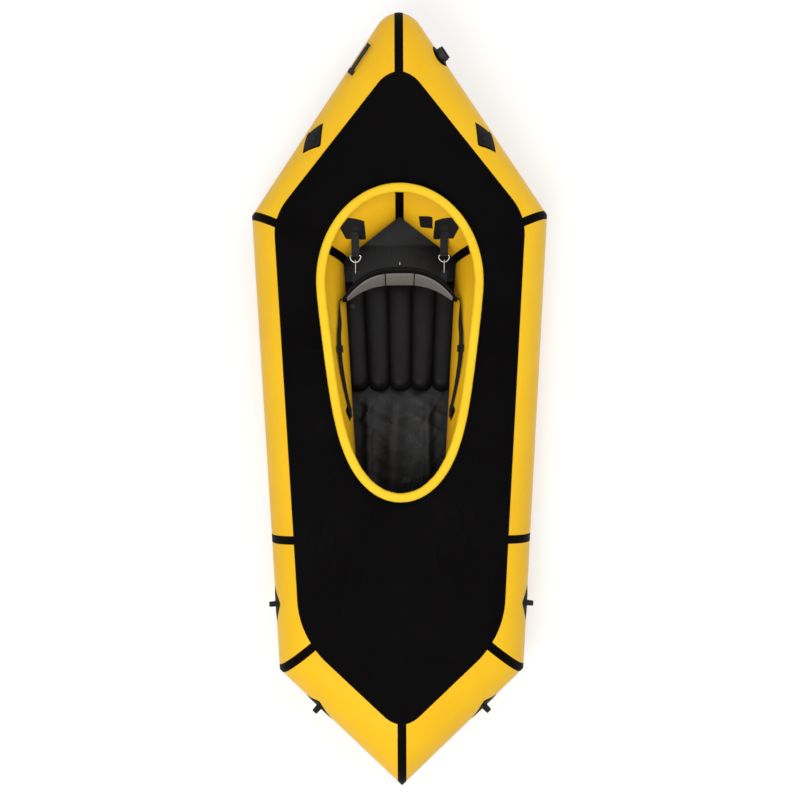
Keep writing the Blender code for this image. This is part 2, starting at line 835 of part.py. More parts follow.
def build_coaming_ring(name, section, material, collection):
    rings = [coaming_section(index, section) for index in range(len(COCKPIT_POINTS))]
    return add_object(name, loft(name, rings, wrap_rings=True), material, collection)


SLEEVE_CENTRE = SKIRT_HEIGHT + SLEEVE_HEIGHT / 2 - SLEEVE_WALL


def build_coaming(yellow, dark, collection):
    half = SKIRT_THICKNESS / 2
    skirt = [(-half, -SKIRT_DROP), (half, -SKIRT_DROP), (half, SKIRT_HEIGHT), (-half, SKIRT_HEIGHT)]
    build_coaming_ring("coaming_skirt", skirt, yellow, collection)

    slit = half + GAP
    outer_x, outer_z = SLEEVE_WIDTH / 2, SLEEVE_HEIGHT / 2
    inner_x, inner_z = outer_x - SLEEVE_WALL, outer_z - SLEEVE_WALL
    outer_start = math.asin(slit / outer_x)
    inner_start = math.asin(slit / inner_x)
    sleeve = []
    for step in range(SLEEVE_SIDES + 1):
        angle = outer_start + (math.tau - 2 * outer_start) * step / SLEEVE_SIDES
        sleeve.append((outer_x * math.sin(angle), SLEEVE_CENTRE - outer_z * math.cos(angle)))
    for step in range(SLEEVE_SIDES, -1, -1):
        angle = inner_start + (math.tau - 2 * inner_start) * step / SLEEVE_SIDES
        sleeve.append((inner_x * math.sin(angle), SLEEVE_CENTRE - inner_z * math.cos(angle)))
    build_coaming_ring("coaming_sleeve", sleeve, yellow, collection)

    radius = ROD_DIAMETER / 2
    rod = []
    for step in range(ROD_SIDES):
        angle = math.tau * (step + 0.5) / ROD_SIDES
        height = SKIRT_HEIGHT + GAP + radius + radius * math.sin(angle)
        rod.append((radius * math.cos(angle), height))
    build_coaming_ring("coaming_rod", rod, dark, collection)


def leave_angle(ring, edge, foot):
    """Where the deck, pulled straight to the foot of the coaming, leaves the round of the tube."""
    best_angle, best_slope = edge, -math.inf
    steps = 60
    for step in range(steps):
        angle = edge + (math.pi - edge) * step / steps
        point = ring.point(angle, DECK_LIFT)
        away = (point.to_2d() - foot.to_2d()).dot((ring.outer - ring.inner).to_2d().normalized())
        if away < DECK_LIFT:
            continue
        slope = (point.z - foot.z) / away
        if slope > best_slope:
            best_angle, best_slope = angle, slope
    return max(best_angle, edge + math.radians(6))


def deck_hem(index):
    """Both edges of the flat strip of deck that is sewn to the foot of the coaming."""
    base = coaming_base(COCKPIT_POINTS[index].y)
    inner = SKIRT_THICKNESS / 2 + GAP
    edges = []
    for reach in (inner, inner + DECK_SEAM_ALLOWANCE):
        spot = COCKPIT_POINTS[index] + COCKPIT_NORMALS[index] * reach
        edges.append(Vector((spot.x, spot.y, base)))
    return edges


def build_deck(material, collection):
    """The deck sheet: over the top of the tube from its edge line, then taut to the coaming."""
    columns = []
    for index, ring in enumerate(COLUMNS):
        rim, foot = deck_hem(index)
        edge = edge_angle(ring)
        leave = leave_angle(ring, edge, foot)
        column = []
        for row in range(DECK_TUBE_ROWS):
            angle = edge + (leave - edge) * row / (DECK_TUBE_ROWS - 1)
            column.append(ring.point(angle, DECK_LIFT))
        crest = column[-1]
        for share in DECK_ROW_SHARES:
            column.append(crest.lerp(foot, share))
        column += [foot, rim]
        columns.append(column)
    item = add_object("deck_sheet", open_grid("deck_sheet", columns), material, collection)
    add_mirror(item)
    add_solidify(item, DECK_THICKNESS, 1)
    return item


class Spot:
    """A place on the skin of the tube, between two rings and at an angle round them."""

    def __init__(self, start, end, share, degrees=None, angle=None):
        self.start = start
        self.end = end
        self.share = share
        self.angle = math.radians(degrees) if angle is None else angle
        span = end.point(self.angle) - start.point(self.angle)
        self.length = span.length
        ring = start.between(end, share)
        turn = math.radians(1)
        spread = ring.point(self.angle + turn) - ring.point(self.angle - turn)
        self.rate = spread.length / (2 * turn)
        self.skew = span.normalized().dot(spread.normalized())

    def point(self, along=0.0, around=0.0, lift=0.0):
        """A point so far towards the end ring, so far on round the tube and so far off its skin.

        The rings stand askew to the tube near its ends, so a step round also takes a step back.
        """
        step = around / math.sqrt(1 - self.skew * self.skew)
        ring = self.start.between(self.end, self.share + (along - step * self.skew) / self.length)
        return ring.point(self.angle + step / self.rate, lift)

    def along(self):
        return (self.point(along=OVERRUN) - self.point(along=-OVERRUN)).normalized()

    def normal(self):
        around = self.point(around=OVERRUN) - self.point(around=-OVERRUN)
        normal = self.along().cross(around).normalized()
        ring = self.start.between(self.end, self.share)
        outwards = self.point() - (ring.outer + ring.inner) / 2
        return normal if normal.dot(outwards) > 0 else -normal

    def frame(self, lift=0.0):
        """A matrix with X along the tube, Z off its skin and its origin at a lift."""
        along = self.along()
        up = self.normal()
        across = up.cross(along)
        matrix = Matrix((along, across, up)).transposed().to_4x4()
        matrix.translation = self.point(lift=lift)
        return matrix


def spot_at(x, y):
    """The spot on the tube's upper side over a plan point of the right half."""
    point = Vector((x, y))
    for start, end in zip(COLUMNS, COLUMNS[1:]):
        first, second = beside(start, point), beside(end, point)
        if first * second > 0 or first == second:
            continue
        share = first / (first - second)
        ring = start.between(end, share)
        middle = (ring.outer + ring.inner) / 2
        reach = (ring.outer - ring.inner) / 2
        cosine = (point - middle.to_2d()).dot(reach.to_2d()) / reach.to_2d().length_squared
        if abs(cosine) < 1:
            return Spot(start, end, share, angle=math.acos(cosine))
    raise ValueError("no tube lies under this place")


def off_deck_spot(share, distance):
    """The spot so far along the straight of the stern tube and so far out from the deck's edge."""
    ring = NOSE_END.between(REAR_RING, share)
    mean_radius = ((ring.outer - ring.inner).length / 2 + ring.half_height) / 2
    point = ring.point(edge_angle(ring) - distance / mean_radius)
    return spot_at(point.x, point.y)


def ribbon(name, path, sides, width, thickness):
    """A flat strap along a path, with the direction of its width given at each point."""
    rings = []
    for index, point in enumerate(path):
        tangent = path[min(index + 1, len(path) - 1)] - path[max(index - 1, 0)]
        across = sides[index].normalized()
        up = across.cross(tangent).normalized()
        across = across * width / 2
        up = up * thickness / 2
        rings.append([point + across + up, point - across + up, point - across - up, point + across - up])
    return loft(name, rings, capped=True)


def wire(name, points, diameter, material, collection, cyclic=False):
    """A round wire through points, as a bevelled curve."""
    curve = bpy.data.curves.new(name, "CURVE")
    curve.dimensions = "3D"
    spline = curve.splines.new("POLY")
    spline.points.add(len(points) - 1)
    for place, point in zip(spline.points, points):
        place.co = (*point, 1.0)
    spline.use_cyclic_u = cyclic
    curve.bevel_depth = diameter / 2
    curve.bevel_resolution = 1
    curve.use_fill_caps = True
    curve.materials.append(material)
    item = bpy.data.objects.new(name, curve)
    collection.objects.link(item)
    return item


def turned(name, profile, matrix, material, collection, steps=24, closed=False):
    """A body turned round its local Z from pairs of radius and height, run top to bottom."""
    mesh = bpy.data.meshes.new(name)
    points = [(radius, 0.0, height) for radius, height in profile]
    edges = [(index, index + 1) for index in range(len(points) - 1)]
    if closed:
        edges.append((len(points) - 1, 0))
    mesh.from_pydata(points, edges, [])
    item = bpy.data.objects.new(name, mesh)
    mesh.materials.append(material)
    item.matrix_world = matrix
    collection.objects.link(item)
    screw = item.modifiers.new("turn", "SCREW")
    screw.axis = "Z"
    screw.steps = steps
    screw.render_steps = steps
    screw.use_merge_vertices = True
    screw.merge_threshold = GAP / 10
    return item


def box(name, low, high, matrix, material, collection):
    """A block between two local corners."""
    mesh = bpy.data.meshes.new(name)
    work = bmesh.new()
    bmesh.ops.create_cube(work, size=1.0)
    low, high = Vector(low), Vector(high)
    for vertex in work.verts:
        share = vertex.co + Vector((0.5, 0.5, 0.5))
        vertex.co = Vector(low[axis] + (high[axis] - low[axis]) * share[axis] for axis in range(3))
    work.to_mesh(mesh)
    work.free()
    mesh.materials.append(material)
    item = bpy.data.objects.new(name, mesh)
    item.matrix_world = matrix
    collection.objects.link(item)
    return item


def as_cutter(item):
    item.hide_render = True
    item.display_type = "WIRE"
    return item


def add_boolean(item, cutter, operation):
    modifier = item.modifiers.new(operation.lower(), "BOOLEAN")
    modifier.operation = operation
    modifier.object = cutter
    modifier.solver = "EXACT"
    return modifier


# Patches and tie-down loops


def diamond_mesh(name, spot, half_along, half_around, lift):
    """An open diamond that follows the skin of the tube, its faces turned off the skin."""
    rows = []
    for row in PATCH_ROW_SHARES:
        half = half_along * (1 - abs(row)) + PATCH_TIP
        rows.append([spot.point(half * column, half_around * row, lift) for column in (-1, 0, 1)])
    mesh = open_grid(name, rows)
    if mesh.polygons[0].normal.dot(spot.normal()) < 0:
        mesh.flip_normals()
    return mesh


def loop_mesh(name, spot, lift):
    """An arch of webbing that stands on a patch, with a foot each side."""
    frame = spot.frame(lift)
    half = LOOP_SPAN / 2 + WEBBING_THICKNESS / 2
    sink = -WEBBING_THICKNESS / 2
    path = [(-half - LOOP_FOOT, sink), (-half, sink)]
    for step in range(LOOP_STEPS + 1):
        angle = math.pi * step / LOOP_STEPS
        path.append((-half * math.cos(angle), LOOP_HEIGHT * math.sin(angle) ** LOOP_FULLNESS_POWER))
    path += [(half, sink), (half + LOOP_FOOT, sink)]
    points = [frame @ Vector((0, across, up)) for across, up in path]
    sides = [frame.to_3x3() @ Vector((1, 0, 0)) for point in points]
    return ribbon(name, points, sides, LOOP_WIDTH, WEBBING_THICKNESS)


def build_tie_downs(material, parts, cutters):
    """Diamond patches outside the hull, each with a webbing loop sewn on."""
    places = {
        "stern": Spot(NOSE_END, REAR_RING, STERN_PATCH_SHARE, STERN_PATCH_DEGREES),
        "side": Spot(SIDE_RING, FRONT_RING, SIDE_PATCH_SHARE, SIDE_PATCH_DEGREES),
        "bow": Spot(FRONT_RING, BOW_RING, BOW_PATCH_SHARE, BOW_PATCH_DEGREES),
    }
    for place, spot in places.items():
        name = place + "_tie_down"
        patch = diamond_mesh(name, spot, PATCH_HALF_ALONG, PATCH_HALF_AROUND, PATCH_LIFT)
        loop = loop_mesh(name + "_loop", spot, PATCH_LIFT + PATCH_THICKNESS)
        for item, cutter in zip(
            add_pair(name, patch, material, parts), add_pair(name + "_loop", loop, material, cutters)
        ):
            add_solidify(item, PATCH_THICKNESS, 1)
            add_boolean(item, as_cutter(cutter), "UNION")


def build_inner_patches(material, parts, cutters):
    """Diamond patches inside the stern: two with the sewn feet of the rear straps, one spare."""
    spot = spot_at(REAR_STRAP_X, INNER_PATCH_Y)
    patch = diamond_mesh("inner_patch", spot, INNER_PATCH_HALF_ALONG, INNER_PATCH_HALF_AROUND, PATCH_LIFT)
    pivot = strap_pivot()
    normal = spot.normal()
    back = Vector((0, 1, 0))
    slope = (back - normal * back.dot(normal)).normalized()
    across = slope.cross(normal)
    root = spot.point(lift=PATCH_LIFT + PATCH_THICKNESS)
    start = root + slope * STRAP_FOOT_LENGTH / 2 - normal * WEBBING_THICKNESS / 2
    middle = root - slope * STRAP_FOOT_LENGTH / 4 - normal * WEBBING_THICKNESS / 2
    end = pivot + Vector((0, GAP + WEBBING_THICKNESS / 2, 0))
    rise = end + Vector((0, STRAP_STANDOFF, 0))
    sides = [across, across, Vector((1, 0, 0)), Vector((1, 0, 0))]
    foot = ribbon("strap_foot", [start, middle, rise, end], sides, REAR_STRAP_WIDTH, WEBBING_THICKNESS)
    for item, cutter in zip(
        add_pair("inner_patch", patch, material, parts), add_pair("strap_foot", foot, material, cutters)
    ):
        add_solidify(item, PATCH_THICKNESS, 1)
        add_boolean(item, as_cutter(cutter), "UNION")
    spare = spot_at(SPARE_PATCH_X, SPARE_PATCH_Y)
    mesh = diamond_mesh(
        "spare_patch", spare, SPARE_PATCH_HALF, SPARE_PATCH_HALF, PATCH_LIFT
    )
    add_solidify(add_object("spare_patch", mesh, material, parts), PATCH_THICKNESS, 1)


def strap_pivot():
    """Where a rear strap bends at the end of its sewn foot."""
    spot = spot_at(REAR_STRAP_X, INNER_PATCH_Y)
    root = spot.point(lift=PATCH_LIFT + PATCH_THICKNESS)
    return Vector((REAR_STRAP_X, root.y - STRAP_FOOT_LENGTH, root.z - STRAP_DROP))


WEBBING_Z = BAND_TOP_Z - (BAND_TOP_Z - BAND_BOTTOM_Z) * BAND_HEM_SHARE - BAND_WEBBING_WIDTH / 2
RING_DROOP = math.radians(RING_DROOP_DEGREES)
RING_TIP_Y = RING_BAR_Y - RING_DEPTH * math.cos(RING_DROOP)
HOOK_REAR_Y = RING_TIP_Y + (RING_WIRE + HOOK_WIRE) / 2 + RING_PLAY
HOOK_FRONT_Y = HOOK_REAR_Y - HOOK_LENGTH
RING_BAR_Z = WEBBING_Z + RING_DEPTH * math.sin(RING_DROOP)
LOOP_TURN = math.pi * 1.5


def build_rear_straps(material, collection):
    """Straps from the pivot at the patch to a loop round the bar of the D-ring."""
    pivot = strap_pivot()
    bar = Vector((REAR_STRAP_X, RING_BAR_Y, RING_BAR_Z))
    reach = RING_WIRE / 2 + SWING_GAP + WEBBING_THICKNESS / 2
    towards = (bar - pivot).normalized()
    slope = math.atan2(towards.z, towards.y)
    path = [pivot]
    for step in range(STRAP_LOOP_STEPS + 1):
        angle = slope - math.pi / 2 - LOOP_TURN * step / STRAP_LOOP_STEPS
        path.append(bar - Vector((0, math.cos(angle), math.sin(angle))) * reach)
    sides = [Vector((1, 0, 0)) for point in path]
    mesh = ribbon("rear_strap", path, sides, REAR_STRAP_WIDTH, WEBBING_THICKNESS)
    add_pair("rear_strap", mesh, material, collection)


def build_rings(material, collection):
    """D-rings in the strap loops: a straight bar along X and an arc that droops forwards."""
    droop = Matrix.Rotation(RING_DROOP, 3, "X")
    rounding = RING_WIRE
    depth = RING_DEPTH - rounding
    for side, sign in SIDES:
        bar = Vector((sign * REAR_STRAP_X, RING_BAR_Y, RING_BAR_Z))
        flat = []
        for step in range(RING_ARC_STEPS + 1):
            angle = math.pi * step / RING_ARC_STEPS
            across = RING_HALF_WIDTH * math.cos(angle)
            flat.append(Vector((across, -rounding - depth * math.sin(angle), 0)))
        flat.append(Vector((-RING_HALF_WIDTH + rounding, 0, 0)))
        flat.append(Vector((RING_HALF_WIDTH - rounding, 0, 0)))
        points = [bar + droop @ point for point in flat]
        wire("strap_ring_" + side, points, RING_WIRE, material, collection, cyclic=True)


# Backband


def band_frame(share):
    """Plan place, rear normal and size of the backband at a signed share of its half width."""
    size = abs(share)
    y = BAND_CENTRE_Y - BAND_DEPTH * size**BAND_CURVE_POWER
    slope = BAND_DEPTH * BAND_CURVE_POWER * size ** (BAND_CURVE_POWER - 1) / BAND_HALF_WIDTH
    slope = math.copysign(slope, share)
    normal = Vector((slope, 1, 0)).normalized()
    ease = size**BAND_TAPER_POWER
    thickness = BAND_THICKNESS + (BAND_TIP_THICKNESS - BAND_THICKNESS) * size * size
    bottom = BAND_BOTTOM_Z + (BAND_TIP_BOTTOM_Z - BAND_BOTTOM_Z) * ease
    top = BAND_TOP_Z + (BAND_TIP_TOP_Z - BAND_TOP_Z) * ease
    return Vector((BAND_HALF_WIDTH * share, y, 0)), normal, thickness, bottom, top


def leaned(point):
    """A point of the band moved aft above its webbing and forward below it."""
    return point + Vector((0, (point.z - WEBBING_Z) * BAND_LEAN_SHARE, 0))


def band_places(low, high):
    """Signed station shares of the backband from a low to a high one."""
    shares = (*BAND_PLACE_SHARES, *LINING_SEAM_SHARES, BAND_WEBBING_END_SHARE, LINING_END_SHARE)
    places = sorted({sign * share for share in shares for sign in (-1, 1)})
    return [place for place in places if low - GAP <= place <= high + GAP]


def build_band(black, grey, webbing, steel, parts, cutters):
    rings = []
    for place in band_places(-1, 1):
        middle, normal, thickness, bottom, top = band_frame(place)
        hem = (top - bottom) * BAND_HEM_SHARE
        half = thickness / 2
        lip = half * BAND_HEM_EDGE_SHARE
        section = [(half, bottom + hem), (half, top - hem), (lip, top), (-lip, top)]
        section += [(-half, top - hem), (-half, bottom + hem), (-lip, bottom), (lip, bottom)]
        spots = [middle + normal * reach + Vector((0, 0, height)) for reach, height in section]
        rings.append([leaned(spot) for spot in spots])
    add_object("backband", loft("backband", rings, capped=True), black, parts)

    seam, next_seam = LINING_SEAM_SHARES
    panels = {
        "backband_lining_left": (-LINING_END_SHARE, -next_seam),
        "backband_lining_middle": (-seam, seam),
        "backband_lining_right": (next_seam, LINING_END_SHARE),
    }
    for name, (low, high) in panels.items():
        rings = []
        for place in band_places(low, high):
            middle, normal, thickness, bottom, top = band_frame(place)
            hem = (top - bottom) * BAND_HEM_SHARE
            near = -thickness / 2 - GAP
            far = near - LINING_THICKNESS
            corners = [(near, bottom + hem), (near, top - hem), (far, top - hem), (far, bottom + hem)]
            spots = [middle + normal * reach + Vector((0, 0, height)) for reach, height in corners]
            rings.append([leaned(spot) for spot in spots])
        add_object(name, loft(name, rings, capped=True), grey, parts)

    corners = ((1, 1), (1, -1), (-1, -1), (-1, 1))
    rings = []
    for place in band_places(-BAND_WEBBING_END_SHARE, BAND_WEBBING_END_SHARE):
        rings.append([webbing_point(place, depth, height) for depth, height in corners])
    item = add_object("backband_webbing", loft("backband_webbing", rings, capped=True), webbing, parts)
    for side, sign in SIDES:
        tab = tab_mesh("tab_" + side, sign)
        add_boolean(item, as_cutter(add_object("tab_" + side, tab, webbing, cutters)), "UNION")
    for side, sign in SIDES:
        matrix = Matrix.Translation((sign * REAR_STRAP_X, HOOK_FRONT_Y, WEBBING_Z))
        radius = HOOK_WIRE / 2 + TAB_EYE_CLEARANCE
        eye = cylinder("eye_" + side, radius, TAB_THICKNESS * 2, matrix, webbing, cutters)
        add_boolean(item, as_cutter(eye), "DIFFERENCE")

    y = webbing_point(0, 1, 0).y + GAP + CENTRE_HOOK_WIRE / 2
    top = WEBBING_Z + CENTRE_HOOK_LENGTH / 2
    points = [Vector((0, y, top - CENTRE_HOOK_LENGTH)), Vector((0, y, top))]
    for step in range(1, HOOK_ARC_STEPS + 1):
        angle = math.pi * step / HOOK_ARC_STEPS
        reach = CENTRE_HOOK_RADIUS * (1 - math.cos(angle))
        points.append(Vector((0, y + reach, top + CENTRE_HOOK_RADIUS * math.sin(angle))))
    points = [leaned(point) for point in points]
    wire("centre_hook", points, CENTRE_HOOK_WIRE, steel, parts)


def webbing_point(place, depth, height):
    """A corner of the webbing behind the band: depth 1 is its rear face, height 1 its top edge."""
    middle, normal, thickness, bottom, top = band_frame(place)
    reach = thickness / 2 + GAP + WEBBING_THICKNESS / 2 * (1 + depth)
    drop = (BAND_TOP_Z - top) / 2
    z = WEBBING_Z - drop + height * BAND_WEBBING_WIDTH / 2
    return leaned(middle + normal * reach + Vector((0, 0, z)))


def webbing_y(x):
    """Where the middle of the webbing's thickness is, at a distance from the middle of the boat."""
    line = [webbing_point(place, 0, 0) for place in band_places(0, BAND_WEBBING_END_SHARE)]
    for start, end in zip(line, line[1:]):
        if start.x <= x <= end.x:
            return start.lerp(end, (x - start.x) / (end.x - start.x)).y
    return line[-1].y


def tab_mesh(name, sign):
    """A flat tab of webbing that reaches back from the band to a hook."""
    half = TAB_WIDTH / 2
    near, far = REAR_STRAP_X - half, REAR_STRAP_X + half
    end = HOOK_FRONT_Y + TAB_MARGIN
    outline = [(near, webbing_y(near)), (far, webbing_y(far)), (far, end), (near, end)]
    rings = []
    for rise in (-TAB_THICKNESS / 2, TAB_THICKNESS / 2):
        rings.append([Vector((sign * x, y, WEBBING_Z + rise)) for x, y in outline])
    return loft(name, rings, capped=True)


def cylinder(name, radius, length, matrix, material, collection):
    """A cylinder along its local Z, centred on its origin."""
    mesh = bpy.data.meshes.new(name)
    work = bmesh.new()
    bmesh.ops.create_cone(
        work, cap_ends=True, segments=SMALL_TURNED_STEPS, radius1=radius, radius2=radius, depth=length
    )
    work.to_mesh(mesh)
    work.free()
    mesh.materials.append(material)
    item = bpy.data.objects.new(name, mesh)
    item.matrix_world = matrix
    collection.objects.link(item)
    return item


def build_hooks(material, collection):
    """Wire snap hooks from the tabs of the band to the D-rings, each with a gate underneath."""
    height = HOOK_HALF_HEIGHT
    front, rear = HOOK_FRONT_Y + height, HOOK_REAR_Y - height
    gate_rear = (front + rear) / 2 + GATE_LENGTH / 2
    gate_front = gate_rear - GATE_LENGTH
    for side, sign in SIDES:
        x = sign * REAR_STRAP_X
        points = [Vector((x, gate_front - SWING_GAP, WEBBING_Z - height))]
        for step in range(HOOK_ARC_STEPS + 1):
            angle = math.pi * step / HOOK_ARC_STEPS
            y = front - height * math.sin(angle)
            points.append(Vector((x, y, WEBBING_Z - height * math.cos(angle))))
        for step in range(HOOK_ARC_STEPS + 1):
            angle = math.pi * step / HOOK_ARC_STEPS
            y = rear + height * math.sin(angle)
            points.append(Vector((x, y, WEBBING_Z + height * math.cos(angle))))
        points.append(Vector((x, gate_rear + SWING_GAP, WEBBING_Z - height)))
        wire("snap_hook_" + side, points, HOOK_WIRE, material, collection)
        gate = [Vector((0, gate_front - gate_rear, 0)), Vector((0, 0, 0))]
        item = wire("hook_gate_" + side, gate, HOOK_WIRE, material, collection)
        item.location = (x, gate_rear, WEBBING_Z - height)


# Front straps


def side_spot(y, degrees):
    """The spot on the rear side tube at a place along the boat and an angle round it."""
    angle = math.radians(degrees)
    start, end = REAR_RING.point(angle), SIDE_RING.point(angle)
    return Spot(REAR_RING, SIDE_RING, (y - start.y) / (end.y - start.y), degrees)


def build_front_straps(webbing, black, plastic, parts, cutters):
    middle, normal, thickness, bottom, top = band_frame(1.0)
    outside = middle + normal * (thickness / 2 + SWING_GAP + WEBBING_THICKNESS / 2)
    tip = leaned(outside + Vector((0, 0, (bottom + top) / 2)))
    upright = Vector((0, BAND_LEAN_SHARE, 1))
    along = Vector((normal.y, -normal.x, 0))
    path = [tip - along * FRONT_STRAP_REACH, tip + along * FRONT_STRAP_REACH]
    sides = [upright, upright]
    for index, (y, degrees) in enumerate(FRONT_STRAP_PLACES):
        spot = side_spot(y, degrees)
        lift = FRONT_STRAP_BUCKLE_LIFT if index in (0, 1, 2) else FRONT_STRAP_LIFT
        path.append(spot.point(lift=lift))
        across = spot.frame().to_3x3() @ Vector((0, 1, 0))
        sides.append(across if across.z > 0 else -across)
    mesh = ribbon("front_strap", path, sides, STRAP_WIDTH, WEBBING_THICKNESS)
    add_pair("front_strap", mesh, webbing, parts)

    y, degrees = FRONT_STRAP_PLACES[-1]
    before_y, before_degrees = FRONT_STRAP_PLACES[-2]
    spot = side_spot((y + before_y) / 2, (degrees + before_degrees) / 2)
    mesh = diamond_mesh(
        "front_strap_patch", spot, FRONT_PATCH_HALF_ALONG, FRONT_PATCH_HALF_AROUND, PATCH_LIFT
    )
    for item in add_pair("front_strap_patch", mesh, black, parts):
        add_solidify(item, PATCH_THICKNESS, 1)

    start, end = path[3], path[4]
    for side, sign in SIDES:
        flip = Vector((sign, 1, 1))
        direction = ((end - start) * flip).normalized()
        across = (sides[3] * flip).normalized()
        up = direction.cross(across)
        across = up.cross(direction)
        matrix = Matrix((direction, across, up)).transposed().to_4x4()
        matrix.translation = (start + end) / 2 * flip
        size = Vector((BUCKLE_LENGTH, BUCKLE_WIDTH, BUCKLE_THICKNESS)) / 2
        item = box("strap_buckle_" + side, -size, size, matrix, plastic, parts)
        slot = Vector((BUCKLE_LENGTH, STRAP_WIDTH / 2, WEBBING_THICKNESS / 2))
        slot += Vector((0, BUCKLE_CLEARANCE, BUCKLE_CLEARANCE))
        cut = box("buckle_slot_" + side, -slot, slot, matrix, plastic, cutters)
        add_boolean(item, as_cutter(cut), "DIFFERENCE")
        window = Vector((BUCKLE_WINDOW_LENGTH / 2, STRAP_WIDTH / 2, BUCKLE_THICKNESS))
        cut = box("buckle_window_" + side, -window, window, matrix, plastic, cutters)
        add_boolean(item, as_cutter(cut), "DIFFERENCE")


# Seat


def seat_height(across, near_end):
    """Half height of the seat pad: round over each chamber, closing at its ends."""
    round_top = SEAT_VALLEY_SHARE + (1 - SEAT_VALLEY_SHARE) * math.sqrt(max(0.0, 1 - across * across))
    return SEAT_HEIGHT / 2 * round_top * near_end


def build_seat(material, collection):
    """Five lengthwise chambers side by side, their front ends rounded one by one."""
    rows = []
    length = SEAT_REAR_Y - SEAT_FRONT_Y
    for share in SEAT_END_SHARES:
        depth = min(share, 1 - share) * length / (SEAT_HEIGHT / 2)
        near_end = math.sqrt(1 - (1 - min(1.0, depth)) ** 2)
        pitch = SEAT_PITCH_FRONT + (SEAT_PITCH_REAR - SEAT_PITCH_FRONT) * share
        top, under = [], []
        for chamber in range(SEAT_CHAMBERS):
            columns = SEAT_COLUMNS + 1 if chamber == SEAT_CHAMBERS - 1 else SEAT_COLUMNS
            for column in range(columns):
                across = -1 + 2 * column / SEAT_COLUMNS
                edge = (chamber == 0 and column == 0) or column == SEAT_COLUMNS
                half = 0.0 if edge else seat_height(across, near_end)
                x = pitch * (chamber - (SEAT_CHAMBERS - 1) / 2 + across / 2)
                setback = SEAT_END_DEPTH * (1 - math.sqrt(1 - min(1.0, across * across)))
                y = SEAT_FRONT_Y + setback + (length - setback) * share
                centre = FLOOR_THICKNESS + GAP + SEAT_HEIGHT / 2
                top.append(Vector((x, y, centre + half)))
                under.append(Vector((x, y, centre - half)))
        rows.append(top + list(reversed(under)))
    mesh = loft("seat_pad", rows, capped=False)
    add_object("seat_pad", mesh, material, collection, SEAT_SMOOTH_DEGREES)


def build_seat_valve(plastic, collection):
    share = (SEAT_VALVE_Y - SEAT_FRONT_Y) / (SEAT_REAR_Y - SEAT_FRONT_Y)
    pitch = SEAT_PITCH_FRONT + (SEAT_PITCH_REAR - SEAT_PITCH_FRONT) * share
    x = -pitch * (SEAT_CHAMBERS - 1) / 2
    crest = FLOOR_THICKNESS + GAP + SEAT_HEIGHT
    matrix = Matrix.Translation((x, SEAT_VALVE_Y, crest + GAP))
    flange, stem, bore = SEAT_VALVE_FLANGE_RADIUS, SEAT_VALVE_STEM_RADIUS, SEAT_VALVE_BORE_RADIUS
    low, high = SEAT_VALVE_FLANGE_THICKNESS, SEAT_VALVE_STEM_HEIGHT
    profile = [(bore, high), (stem, high), (stem, low), (flange, low), (flange, 0), (bore, 0)]
    turned("seat_valve", profile, matrix, plastic, collection, SMALL_TURNED_STEPS, closed=True)
    peg = bore - GAP
    rim = stem + GAP + SEAT_PLUG_WALL
    inner = stem + GAP
    under = high + GAP
    over = under + SEAT_PLUG_WALL
    foot = low + SEAT_PLUG_WALL
    profile = [(0, over), (rim, over), (rim, foot), (inner, foot), (inner, under)]
    profile += [(peg, under), (peg, under - SEAT_PLUG_PEG_LENGTH), (0, under - SEAT_PLUG_PEG_LENGTH)]
    turned("seat_plug", profile, matrix, plastic, collection, SMALL_TURNED_STEPS)


# Main valve


